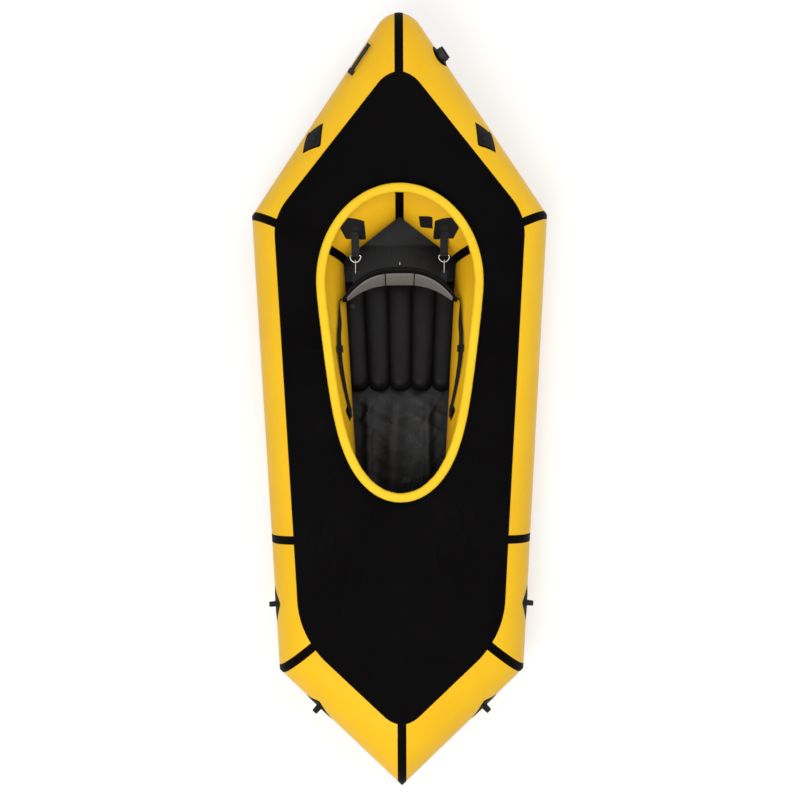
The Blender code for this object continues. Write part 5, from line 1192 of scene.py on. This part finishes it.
def build_seat():
    """The inflated pad, the valve on its rear left chamber and the plug over the valve."""
    end = np.linspace(0, 1, 15) ** 2 * SEAT_END
    s = np.concatenate([end, np.linspace(SEAT_END, 1 - SEAT_END, 60)[1:-1], 1 - end[::-1]])
    within = 0.5 - 0.5 * np.cos(np.linspace(0, math.pi, 25)[:-1])
    columns = (np.arange(CHAMBERS)[:, None] + within).ravel()
    columns = np.append(columns, CHAMBERS - 1e-9)
    share, column = np.meshgrid(s, columns, indexing="ij")
    x, y, half = seat_surface(share, column)
    half[:, [0, -1]] = 0.0
    half[[0, -1]] = 0.0
    centre = SEAT_BASE_Z + SEAT_HEIGHT / 2
    top = spread(x, y, centre + half)
    under = spread(x, y, centre - half)
    loop = over_and_under(top, under)
    mesh = closed_grid("seat", loop, loop[..., :2], wrap_rows=False)
    item = add_piece("seat_pad_cloth", mesh, SEAT_BLACK, "hull", ["seat_pad"], sharp=80.0)

    valve_y = 0.292
    at = (valve_y - SEAT_FRONT_Y) / (SEAT_REAR_Y - SEAT_FRONT_Y)
    pitch = FRONT_PITCH + (REAR_PITCH - FRONT_PITCH) * at
    place = np.eye(4)
    place[:3, 3] = (-2 * pitch, valve_y, SEAT_BASE_Z + SEAT_HEIGHT + GAP)
    bore, stem, flange, low, high = 0.0035, 0.0060, 0.0095, 0.0015, 0.010
    profile = [(bore, high), (stem, high), (stem, low), (flange, low), (flange, 0), (bore, 0)]
    mesh = turned_mesh("seat_valve", profile, place, 0.4 * MM, 48, closed=True)
    add_piece("seat_valve_turned", mesh, PLASTIC, "hull", ["seat_valve"])
    peg, rim, inner, under = bore - GAP, stem + GAP + 0.0015, stem + GAP, high + GAP
    over, base = under + 0.0015, low + 0.0015
    profile = [(0, over), (rim, over), (rim, base), (inner, base), (inner, under)]
    profile += [(peg, under), (peg, under - 0.0060), (0, under - 0.0060)]
    mesh = turned_mesh("seat_plug", profile, place, 0.5 * MM, 60, ribs=20, rib_depth=0.35 * MM)
    add_piece("seat_plug_turned", mesh, PLASTIC, "plug", ["seat_plug"])


# Backband

WEBBING_Z, RING_BAR_Z, RING_BAR_Y, STRAP_X = 0.24086, 0.24642, 0.4360, 0.138
HOOK_REAR_Y, HOOK_FRONT_Y, RING_DROOP = 0.42298, 0.37898, math.radians(15)
BAND_LEAN = 0.19
BAND_HALF_WIDTH, BAND_REAR_Y, BAND_DEPTH, BAND_TOP_Z = 0.1785, 0.387, 0.093, 0.266
BAND_TIP = 0.04
WEB_THICKNESS = 0.0016
WIDE_WEB, FRONT_WEB, TAB_WEB, LOOP_WEB = 0.025, 0.020, 0.018, 0.015
RING_WIRE = 0.0035


def band_at(share):
    """Middle line, rear normal, thickness, bottom and top of the backband at signed shares."""
    s = np.asarray(share, float)
    size = np.abs(s)
    y = BAND_REAR_Y - BAND_DEPTH * size**2.8
    slope = np.sign(s) * BAND_DEPTH * 2.8 * size**1.8 / BAND_HALF_WIDTH
    normal = unit(spread(slope, np.ones_like(s), np.zeros_like(s)))
    thickness = 0.016 + (0.010 - 0.016) * size * size
    bottom = 0.108 + (0.222 - 0.108) * size**3
    top = BAND_TOP_Z + (0.250 - BAND_TOP_Z) * size**3
    middle = spread(BAND_HALF_WIDTH * s, y, np.zeros_like(s))
    return middle, normal, thickness, bottom, top


def leaned(points):
    """Points leaned back with the band: they move aft by a share of their height over the webbing."""
    out = np.array(points, float)
    out[..., 1] += (out[..., 2] - WEBBING_Z) * BAND_LEAN
    return out


def band_surface(s, angle):
    """The padded band: a loop round it at each share, flat-sided like a cushion, pulled in where
    the seams between its panels run."""
    middle, normal, thickness, bottom, top = band_at(s)
    c, n = np.cos(angle), np.sin(angle)
    reach = np.sign(c) * np.abs(c) ** 0.45
    rise = np.sign(n) * np.abs(n) ** 0.62
    seams = hump(np.abs(s), 0.26, 0.02)[:, None]
    wrinkle = np.sin(s * 95 + 3 * np.sin(s * 21))[:, None] * hump(np.abs(rise), 0.9, 0.12)
    puff = 1 - 0.16 * seams * (c < 0) + 0.04 * wrinkle
    out = thickness[:, None] / 2 * puff * reach
    height = (top + bottom)[:, None] / 2 + (top - bottom)[:, None] / 2 * rise
    points = middle[:, None] + normal[:, None] * out[..., None]
    points[..., 2] += height
    return leaned(points)


def build_band():
    """The padded band with rounded tips, its three panels of lining and what it carries behind."""
    tip = np.linspace(0, 1, 8)[:-1] ** 2 * BAND_TIP
    s = np.concatenate([tip - 1, np.linspace(BAND_TIP - 1, 1 - BAND_TIP, 150), 1 - tip[::-1]])
    angle = np.linspace(0, math.tau, 64, endpoint=False)[None, :]
    points = band_surface(s, angle)
    into_tip = np.clip((np.abs(s) - (1 - BAND_TIP)) / BAND_TIP, 0, 1)
    close = np.sqrt(np.clip(1 - into_tip**2, 0.02, 1))[:, None, None]
    core = points.mean(axis=1, keepdims=True)
    points = core + (points - core) * close
    uv = spread((s * 0.21)[:, None], angle * 0.04)
    mesh = closed_grid("band", points, uv, wrap_rows=False, caps=True)
    item = add_piece("backband_pad", mesh, BAND_BLACK, "band", ["backband"], sharp=70.0)
    for name, low, high in (("left", -0.95, -0.27), ("middle", -0.25, 0.25), ("right", 0.27, 0.95)):
        lining(name, low, high)
    webbing_behind()


def lining(name, low, high):
    """A quilted panel of lining on the front of the band: a grid that is thickest in its middle
    and thins to a piped edge."""
    s = low + (high - low) * (0.5 - 0.5 * np.cos(np.linspace(0, math.pi, 56)))
    v = -np.cos(np.linspace(0, math.pi, 40))
    middle, normal, thickness, bottom, top = band_at(s)
    hem = (top - bottom) * 0.13
    z = (top + bottom)[:, None] / 2 + ((top - bottom)[:, None] / 2 - hem[:, None]) * v[None, :]
    u = (2 * (s - low) / (high - low) - 1)[:, None]
    pillow = (1 - np.abs(u) ** 6) * (1 - np.abs(v[None, :]) ** 6)
    near = -(thickness / 2 + GAP)[:, None] - 0.2 * MM * pillow
    far = near - 0.6 * MM - 3.6 * MM * pillow**0.6
    rib = 0.25 * MM * np.sin(z * math.tau / 0.016) * pillow
    faces = []
    for reach in (near, far + rib):
        grid = middle[:, None] + normal[:, None] * reach[..., None]
        grid[..., 2] += z
        faces.append(leaned(grid))
    uv = spread((s * 0.21)[:, None], z)
    loop, uv = over_and_under(*faces), over_and_under(uv, uv)
    mesh = closed_grid("lining_" + name, loop, uv, wrap_rows=False, caps=True)
    node = "backband_lining_" + name
    item = add_piece("lining_pad_" + name, mesh, LINING_GREY, "band", [node], sharp=70.0)


def webbing_behind():
    """Webbing along the back of the band with a tab to each hook, and the wire hook behind it."""
    s = np.linspace(-0.84, 0.84, 160)
    middle, normal, thickness, _, top = band_at(s)
    path = middle + normal * (thickness / 2 + 1.1 * MM)[:, None]
    path[:, 2] = WEBBING_Z - (BAND_TOP_Z - top) / 2
    path = leaned(path)
    sides = np.broadcast_to([0, BAND_LEAN, 1.0], path.shape)
    band = strap_mesh("webbing", path, sides, WIDE_WEB, WEB_THICKNESS)
    tabs = []
    y = np.linspace(0.3487, HOOK_FRONT_Y + 0.0095, 14)
    for x in (STRAP_X, -STRAP_X):
        tab = spread(x, y, WEBBING_Z)
        tabs.append(strap_mesh("tab", tab, np.broadcast_to(X_AXIS, tab.shape), TAB_WEB, 0.0018))
    mesh = joined("webbing", band, *tabs)
    add_piece("backband_webbing_strip", mesh, WEBBING, "band", ["backband_webbing"])

    y = 0.39690 + 0.0023
    top_z = WEBBING_Z + 0.013
    bend = 0.0065
    turn = np.linspace(0, math.pi, 9)
    arc = spread(0.0, y + bend * (1 - np.cos(turn)), top_z + bend * np.sin(turn))
    stem = spread(0.0, y, np.linspace(top_z - 0.026, top_z, 6))
    hook = leaned(np.concatenate([stem[:-1], arc]))
    mesh = wire_mesh("centre_hook", curve_through(hook, 60), X_AXIS, 0.0024)
    add_piece("centre_hook_wire", mesh, STEEL, "band", ["centre_hook"])


def build_hooks():
    """Wire hooks and their gates, and the D-rings that they hold: each a bent round wire."""
    half, wire = 0.0065, 0.0028
    front, rear = HOOK_FRONT_Y + half, HOOK_REAR_Y - half
    gate_length = 0.0125
    gate_rear = (front + rear) / 2 + gate_length / 2
    gate_front = gate_rear - gate_length
    turn = np.linspace(0, math.pi, 13)
    low_z = WEBBING_Z - half
    a = spread(front - half * np.sin(turn), WEBBING_Z - half * np.cos(turn))
    b = spread(rear + half * np.sin(turn), WEBBING_Z + half * np.cos(turn))
    line = np.concatenate([[[gate_front - 0.0008, low_z]], a, b, [[gate_rear + 0.0008, low_z]]])
    path = spread(STRAP_X, line[:, 0], line[:, 1])
    mesh = wire_mesh("hook", curve_through(path, 150), X_AXIS, wire)
    add_both("snap_hook_wire", mesh, STEEL, "band", "snap_hook_{side}")
    gate_middle = (gate_front + gate_rear) / 2
    gate = np.array([[STRAP_X, y, low_z] for y in (gate_front, gate_middle, gate_rear)])
    mesh = wire_mesh("gate", curve_through(gate, 20), X_AXIS, wire * 0.86)
    add_both("hook_gate_wire", mesh, STEEL, "gate_{side}", "hook_gate_{side}")

    ring_half, ring_depth, bend = 0.0165, 0.0215, 0.0035
    turn = np.linspace(0, math.pi, 17)
    arc = spread(ring_half * np.cos(turn), -bend - (ring_depth - bend) * np.sin(turn))
    bar = spread(np.linspace(bend - ring_half, ring_half - bend, 9), 0.0)
    flat = curve_through(np.concatenate([arc, bar]), 110, cyclic=True)
    level, fall = math.cos(RING_DROOP), math.sin(RING_DROOP)
    across, back = flat[:, 0], flat[:, 1]
    ring = spread(STRAP_X + across, RING_BAR_Y + back * level, RING_BAR_Z + back * fall)
    mesh = wire_mesh("ring", ring, np.array([0, -fall, level]), RING_WIRE, cyclic=True, sides=14)
    add_both("strap_ring_wire", mesh, STEEL, "ring_{side}", "strap_ring_{side}")


# Straps


PIVOT = np.array([0.1380, 0.47966, 0.25022])
INNER_SPOT = np.array([0.13950, 0.51138, 0.26484])
INNER_NORMAL = np.array([-0.39203, -0.65264, 0.64836])


def build_rear_straps():
    """Straps from the patch's edge to three quarters of a turn round the bar of the D-ring."""
    bar = np.array([STRAP_X, RING_BAR_Y, RING_BAR_Z])
    reach = RING_WIRE / 2 + WEB_THICKNESS
    towards = bar - PIVOT
    slope = math.atan2(towards[2], towards[1])
    turn = slope - math.pi / 2 - np.linspace(0, math.pi * 1.5, 15)
    loop = bar - spread(0.0, np.cos(turn), np.sin(turn)) * reach
    t = np.linspace(0, 1, 12)[:-1, None]
    lead = PIVOT + (loop[0] - PIVOT) * t
    path = curve_through(np.concatenate([lead, loop]), 150)
    sides = np.broadcast_to(X_AXIS, path.shape)
    mesh = strap_mesh("rear_strap", path, sides, WIDE_WEB, WEB_THICKNESS)
    add_both("rear_strap_web", mesh, WEBBING, "strap_{side}", "rear_strap_{side}")


def strap_foot():
    """The sewn foot of a rear strap: flat on the patch, then up to where the strap swings."""
    back = np.array([0, 1.0, 0])
    slope = unit(back - INNER_NORMAL * (back @ INNER_NORMAL))
    across = np.cross(slope, INNER_NORMAL)
    root = INNER_SPOT + INNER_NORMAL * 0.8 * MM
    start = root + slope * 0.015 + INNER_NORMAL * 0.9 * MM
    middle = root - slope * 0.0075 + INNER_NORMAL * 0.9 * MM
    end = PIVOT + np.array([0, -1.6 * MM, 2.0 * MM])
    rise = end + np.array([0, 0.007, 0.0010])
    path = curve_through([start, (start + middle) / 2, middle, rise, end], 60)
    turn = smooth_step(np.linspace(0, 1, 60)[:, None], 0.45, 0.8)
    sides = unit(across * (1 - turn) + X_AXIS * turn)
    return strap_mesh("foot", path, sides, WIDE_WEB, WEB_THICKNESS)


PATCH_LIFT = 0.6 * MM


def diamond(name, spot, half_along, half_around, low=PATCH_LIFT, thick=1.0 * MM):
    """A diamond patch on the skin: rows that narrow to both tips, its edge thinned and rounded."""
    v = np.linspace(-1, 1, 33)
    u = np.linspace(-1, 1, 25)
    corner = 0.10
    widest = math.sqrt((1 + corner) ** 2 - corner**2)
    width = np.sqrt(np.clip((1 + corner - np.abs(v)) ** 2 - corner**2 * 0.98, 0, None)) / widest
    along = half_along * width[:, None] * u[None, :]
    around = half_around * v[:, None] + np.zeros_like(along)
    edge = np.minimum(1 - np.abs(u)[None, :] ** 8, (1 - np.abs(v) ** 8)[:, None])
    height = low + thick * (0.35 + 0.65 * edge**0.5)
    top = spot.point(along, around, height)
    under = spot.point(along, around, np.full_like(height, low))
    uv = spread(along, around)
    loop, uv = over_and_under(top, under), over_and_under(uv, uv)
    return closed_grid(name, loop, uv, wrap_rows=False, caps=True)


def stitched_box(matrix, half_x, half_y, height, step=0.0032):
    """A rectangle of short stitches with its two diagonals, on a plane of a frame."""
    corners = np.array([[-1, -1], [1, -1], [1, 1], [-1, 1]]) * [half_x, half_y]
    meshes = []
    for a, b in ((0, 1), (1, 2), (2, 3), (3, 0), (0, 2), (3, 1)):
        start, end = corners[a], corners[b]
        length = np.linalg.norm(end - start)
        count = max(int(length / step), 1)
        for index in range(count):
            p = start + (end - start) * (index + 0.15) / count
            q = start + (end - start) * (index + 0.85) / count
            path = np.array([[*p, 0.0], [*((p + q) / 2), 0.3 * MM], [*q, 0.0]])
            path = curve_through(placed(path, matrix) + matrix[:3, 2] * height, 9)
            plane = matrix[:3, :3] @ np.array([-(end - start)[1], (end - start)[0], 0.0])
            meshes.append(wire_mesh("stitch", path, unit(plane), 0.55 * MM, sides=5))
    return joined("stitches", *meshes)


def build_tie_downs():
    """Patches with a webbing loop that arches over them, and the box stitches of its feet."""
    places = {
        "stern": Spot(NOSE_END, REAR, 0.54, math.radians(43)),
        "side": Spot(SIDE, FRONT, 0.50, math.radians(16)),
        "bow": Spot(FRONT, BOW, 0.33, math.radians(17)),
    }
    for place, spot in places.items():
        patch = diamond(place, spot, 0.055, 0.0445, thick=0.6 * MM)
        face = diamond(place, spot, 0.048, 0.0385, low=1.3 * MM, thick=0.5 * MM)
        frame_matrix = spot.frame(1.9 * MM)
        half = 0.009 + 0.0008
        turn = np.linspace(0, math.pi, 13)
        arch = spread(-half * np.cos(turn), 0.020 * np.sin(turn) ** 0.6)
        feet = np.array([[-half - 0.007, 0.6 * MM], [-half - 0.003, 0.6 * MM]])
        line = np.concatenate([feet, arch[1:-1], feet[::-1] * [-1, 1]])
        local = spread(0.0, line[:, 0], line[:, 1])
        path = curve_through(placed(local, frame_matrix), 90)
        sides = np.broadcast_to(frame_matrix[:3, 0], path.shape)
        loop = strap_mesh("loop", path, sides, LOOP_WEB, WEB_THICKNESS)
        stitches = []
        for sign in (-1, 1):
            foot = frame_matrix.copy()
            foot[:3, 3] += foot[:3, 1] * sign * (half + 0.0045)
            stitches.append(stitched_box(foot, 0.0055, 0.0020, 1.3 * MM))
        parts = {
            "patch": (patch, TAPE_BLACK),
            "face": (face, PATCH_BLACK),
            "loop": (loop, WEBBING),
            "stitches": (joined("stitches", *stitches), THREAD_BLACK),
        }
        for part, (mesh, material) in parts.items():
            name = f"{place}_tie_down_{part}"
            add_both(name, mesh, material, "hull", place + "_tie_down_{side}")


def build_inner_patches():
    """The patches on the stern's inner wall, those of the straps with the straps' sewn feet."""
    patch = diamond("inner", spot_at(STRAP_X, 0.512), 0.040, 0.070)
    add_both("inner_patch_cloth", patch, PATCH_BLACK, "hull", "inner_patch_{side}")
    add_both("strap_foot_web", strap_foot(), WEBBING, "hull", "inner_patch_{side}")
    spare = diamond("spare", spot_at(0.081, 0.537), 0.029, 0.032)
    add_piece("spare_patch_cloth", spare, PATCH_BLACK, "hull", ["spare_patch"])


# Front strap on the inner wall: place along the boat, degrees round the tube, lift in mm
FRONT_PLACES = (
    (0.227, 146, 6.5), (0.182, 143, 6.5), (0.112, 143, 6.5),
    (0.037, 149, 3.5), (-0.028, 157, 3.5), (-0.068, 163, 3.5),
)


def side_spot(y, degrees):
    """The spot on the rear side tube at a place along the boat and an angle round the tube."""
    angle = math.radians(degrees)
    start = Spot(REAR, SIDE, 0.0, angle).point()
    end = Spot(REAR, SIDE, 1.0, angle).point()
    return Spot(REAR, SIDE, (y - start[1]) / (end[1] - start[1]), angle)


def build_front_straps():
    """Straps from the band's tips down the inner wall to their patches, through a ladder buckle."""
    middle, normal, thickness, bottom, top = band_at(np.array([1.0]))
    middle, normal = middle[0], normal[0]
    tip = middle + normal * (thickness[0] / 2 + WEB_THICKNESS) + UPWARDS * (bottom[0] + top[0]) / 2
    tip = leaned(tip)
    along = np.array([normal[1], -normal[0], 0])
    path = [tip - along * 0.007, tip + along * 0.007]
    sides = [np.array([0, BAND_LEAN, 1.0])] * 2
    for y, degrees, lift in FRONT_PLACES:
        spot = side_spot(y, degrees)
        path.append(spot.point(lift=lift * MM))
        across = spot.frame()[:3, 1]
        sides.append(across if across[2] > 0 else -across)
    both = curve_through(np.concatenate([np.array(path), np.array(sides) * 0.02], 1), 160)
    mesh = strap_mesh("front_strap", both[:, :3], unit(both[:, 3:]), FRONT_WEB, WEB_THICKNESS)
    add_both("front_strap_web", mesh, WEBBING, "hull", "front_strap_{side}")
    spot = side_spot(-0.048, 160)
    patch = diamond("front_patch", spot, 0.035, 0.025)
    add_both("front_patch_cloth", patch, TAPE_BLACK, "hull", "front_strap_patch_{side}")
    start, end = path[3], path[4]
    direction, across = unit(end - start), unit(sides[3])
    up = np.cross(direction, across)
    across = np.cross(up, direction)
    matrix = np.eye(4)
    matrix[:3, 0], matrix[:3, 1], matrix[:3, 2] = direction, across, up
    matrix[:3, 3] = (start + end) / 2
    mesh = buckle_mesh(matrix)
    add_both("ladder_buckle", mesh, PLASTIC, "buckle_{side}", "strap_buckle_{side}")


def buckle_mesh(matrix):
    """A ladder buckle: two side rails and four bars between them, each a rounded block."""
    long, wide, thick = 0.011, 0.0135, 0.003
    rail, slot = wide - 0.0100 - 0.0005, 0.0013
    blocks = []
    for sign in (-1, 1):
        low, high = sorted((sign * wide, sign * (wide - rail)))
        blocks.append(block_mesh("rail", (-long, low, -thick), (long, high, thick), matrix, 1.0 * MM))
    for sign in (-1, 1):
        low, high = sorted((sign * thick, sign * slot))
        for place, size in ((-0.0085, 0.0022), (-0.0030, 0.0012), (0.0030, 0.0012), (0.0085, 0.0022)):
            near = (place - size, rail / 2 - wide, low)
            far = (place + size, wide - rail / 2, high)
            blocks.append(block_mesh("bar", near, far, matrix, 0.5 * MM))
    return joined("buckle", *blocks)


# Valves

VALVE = np.array([
    [0.57738, 0.24693, 0.77824, 0.1247],
    [-0.79844, 0.36998, 0.47498, 1.03225],
    [-0.17065, -0.89562, 0.41078, 0.30864],
    [0, 0, 0, 1],
])


def build_valve():
    """The main valve: a turned body with three spokes, its poppet, its cap and its round patch."""
    spot = spot_at(VALVE[0, 3], VALVE[1, 3])
    radii = np.linspace(0, 1, 12)
    hole, rim = 0.0188, 0.034
    r = hole + (rim - hole) * radii
    a = np.linspace(0, math.tau, 96, endpoint=False)
    along, around = r[:, None] * np.cos(a), r[:, None] * np.sin(a)
    edge = np.clip((1 - radii) / 0.12, 0, 1)[:, None]
    height = PATCH_LIFT + 0.35 * MM + 0.85 * MM * np.sqrt(edge) + np.zeros_like(along)
    top = spot.point(along, around, height)
    under = spot.point(along, around, np.full_like(height, PATCH_LIFT))
    uv = spread(along, around)
    mesh = closed_grid("valve_patch", there_and_back(top, under), there_and_back(uv, uv))
    add_piece("valve_patch_cloth", mesh, TAPE_BLACK, "hull", ["valve_patch"])

    low, bottom = PATCH_LIFT + 0.0012 + 0.0010, -0.010
    ledge = low + 0.0022
    top_z = ledge + 0.0115
    bore, barrel, flange, neck, seat = 0.0155, 0.0195, 0.0265, 0.0175, 0.0120
    profile = [
        (bore, top_z), (barrel, top_z), (barrel, ledge), (flange, ledge), (flange, low), (neck, low),
        (neck, bottom), (seat, bottom), (seat, bottom + 0.0020), (bore, bottom + 0.0020),
    ]
    body = turned_mesh("valve_body", profile, VALVE, 0.5 * MM, 96, closed=True)
    profile = [(0.0027, low), (0.0048, low), (0.0048, low - 0.003), (0.0027, low - 0.003)]
    hub = turned_mesh("hub", profile, VALVE, 0.3 * MM, 48, closed=True)
    near, far = (0.0040, -0.0011, low - 0.0027), (0.0162, 0.0011, low - 0.0003)
    spokes = []
    for index in range(3):
        turn = np.array(Matrix.Rotation(math.tau * index / 3, 4, "Z"))
        spokes.append(block_mesh("spoke", near, far, VALVE @ turn, 0.3 * MM))
    mesh = joined("valve_body", body, hub, *spokes)
    add_piece("valve_body_turned", mesh, PLASTIC, "hull", ["valve_body"])

    stem, button, disc, plate = 0.0022, low + 0.0040 + 0.0008, bottom - GAP, 0.0018
    profile = [
        (0, button + plate), (0.0055, button + plate), (0.0055, button), (stem, button),
        (stem, disc), (0.0145, disc), (0.0145, disc - plate), (0, disc - plate),
    ]
    mesh = turned_mesh("poppet", profile, VALVE, 0.4 * MM, 60)
    add_piece("valve_poppet_turned", mesh, POPPET, "poppet", ["valve_poppet"])

    inner = barrel + 0.0004
    outer = inner + 0.0025
    under = top_z + GAP
    over = under + 0.0025
    foot = ledge + 0.0010
    profile = [
        (0, over), (outer - 0.0022, over), (outer, over - 0.0022), (outer, foot),
        (inner, foot), (inner, under), (0, under),
    ]
    cap = turned_mesh("cap", profile, VALVE, 0.7 * MM, 192, ribs=32, rib_depth=0.55 * MM)
    near, far = (-outer * 0.92, -0.0020, over - GAP), (outer * 0.92, 0.0020, over + 0.0050)
    grip = block_mesh("grip", near, far, VALVE, 1.2 * MM)
    add_piece("valve_cap_turned", joined("cap", cap, grip), PLASTIC, "cap", ["valve_cap"])


MOUTH = np.array([
    [0.58075, -0.4495, -0.67874, -0.13821],
    [0.79486, 0.4932, 0.35348, 0.97469],
    [0.17587, -0.74478, 0.64372, 0.33311],
    [0, 0, 0, 1],
])


def build_mouth_tube():
    """The mouth tube: a flange in hull fabric, a saddle, a ribbed hose and a waisted mouthpiece."""
    low = GAP
    ledge = low + 0.0015
    bore, wall = 0.0063, 0.0025
    axis = ledge + wall + bore
    side = bore + wall
    profile = [(0, ledge), (0.016, ledge), (0.016, low), (0, low)]
    mesh = turned_mesh("flange", profile, MOUTH, 0.7 * MM, 60)
    add_piece("mouth_flange", mesh, HULL_YELLOW, "hull", ["mouth_tube_base"])
    line = MOUTH @ np.array([[0, 0, 1, 0.008], [0, 1, 0, 0], [-1, 0, 0, axis], [0, 0, 0, 1.0]])
    profile = [
        (bore, 0.0), (bore, -0.0104), (0.0, -0.0104), (0.0, -0.0160),
        (side * 0.7, -0.0160), (side, -0.0125), (side, 0.0), (bore, 0.0),
    ]
    socket = turned_mesh("socket", profile, line, 0.5 * MM, 60)
    near, far = (-0.008, -side * 0.8, ledge - GAP), (0.008, side * 0.8, axis - 0.004)
    plinth = block_mesh("plinth", near, far, MOUTH, 1.0 * MM)
    mesh = joined("saddle", socket, plinth)
    add_piece("mouth_saddle", mesh, PLASTIC, "hull", ["mouth_tube_base"])

    start = GAP - 0.010
    end = start + 0.078
    z = np.linspace(start, end, 160)
    ribbed = smooth_step(z, start + 0.012, start + 0.016) * (1 - smooth_step(z, end - 0.006, end - 0.003))
    ribs = 0.5 + 0.5 * np.cos((z - start) * math.tau / 0.0030)
    radius = 0.0060 - 0.25 * MM * ribs * ribbed
    outer = spread(radius, z)[::-1]
    profile = np.concatenate([[[0.0040, end]], outer, [[0.0040, start]]])
    mesh = turned_mesh("hose", profile, line, 0.1 * MM, 48, closed=True)
    add_piece("mouth_hose", mesh, HOSE, "hull", ["mouth_tube"])
    face = end + GAP
    tip, waist, back = face + 0.020, face + 0.010, face - 0.010
    profile = [
        (0.0020, tip), (0.0066, tip), (0.0062, tip - 0.004), (0.00495, waist), (0.0062, face + 0.004),
        (0.0066, face), (0.0035, face), (0.0035, back), (0.0020, back),
    ]
    mesh = turned_mesh("mouthpiece", profile, line, 0.8 * MM, 60, closed=True)
    add_piece("mouthpiece_turned", mesh, PLASTIC, "mouthpiece", ["mouthpiece"])


# Stage, light and camera


def shown_rays(tree):
    """1 for rays that come from the camera or off a glossy face, and 0 for the others."""
    rays = tree.nodes.new("ShaderNodeLightPath")
    return math_node(tree, "MAXIMUM", rays.outputs["Is Camera Ray"], rays.outputs["Is Glossy Ray"])


def build_stage():
    """A plain pale floor, two large soft lamps overhead and the camera straight above the boat."""
    mesh = bpy.data.meshes.new("studio_floor")
    mesh.from_pydata([(-9, -9, 0), (9, -9, 0), (9, 9, 0), (-9, 9, 0)], [], [(0, 1, 2, 3)])
    floor = new_object("studio_floor", mesh)
    material = bpy.data.materials.new("studio_white")
    material.use_nodes = True
    tree = material.node_tree
    shader = tree.nodes["Principled BSDF"]
    shader.inputs["Base Color"].default_value = (0.62, 0.62, 0.62, 1.0)
    shader.inputs["Roughness"].default_value = 0.9
    shader.inputs["Specular IOR Level"].default_value = 0.0
    shader.inputs["Emission Color"].default_value = (1.0, 1.0, 1.0, 1.0)
    glow = math_node(tree, "MULTIPLY", shown_rays(tree), 0.44)
    tree.links.new(glow, shader.inputs["Emission Strength"])
    mesh.materials.append(material)

    world = bpy.data.worlds.new("studio")
    bpy.context.scene.world = world
    world.use_nodes = True
    tree = world.node_tree
    background = tree.nodes["Background"]
    background.inputs["Color"].default_value = (1.0, 1.0, 1.0, 1.0)
    strength = remap(tree, shown_rays(tree), 0.0, 1.0, 0.60, 1.0)
    tree.links.new(strength, background.inputs["Strength"])

    for name, place, size, watts in (
        ("key", (-0.9, -1.5, 3.7), 2.2, 62.0),
        ("fill", (1.1, 1.3, 3.7), 2.6, 34.0),
    ):
        lamp = bpy.data.lights.new(name, "AREA")
        lamp.shape = "DISK"
        lamp.size = size
        lamp.energy = watts
        item = new_object(name, lamp)
        item.location = place
        towards = Vector((0, 0, 0.2)) - Vector(place)
        item.rotation_euler = towards.to_track_quat("-Z", "Y").to_euler()

    data = bpy.data.cameras.new("camera")
    data.sensor_width = 36.0
    data.lens = 45.6
    camera = new_object("camera", data)
    camera.location = (-0.0012, -0.0145, 3.4)
    camera.rotation_euler = (0, 0, math.radians(-0.26))
    bpy.context.scene.camera = camera
    bpy.context.scene.view_settings.view_transform = "Standard"


build_hull()
build_tapes()
build_floor()
build_deck()
build_coaming()
build_seat()
build_band()
build_hooks()
build_rear_straps()
build_tie_downs()
build_inner_patches()
build_front_straps()
build_valve()
build_mouth_tube()
build_stage()
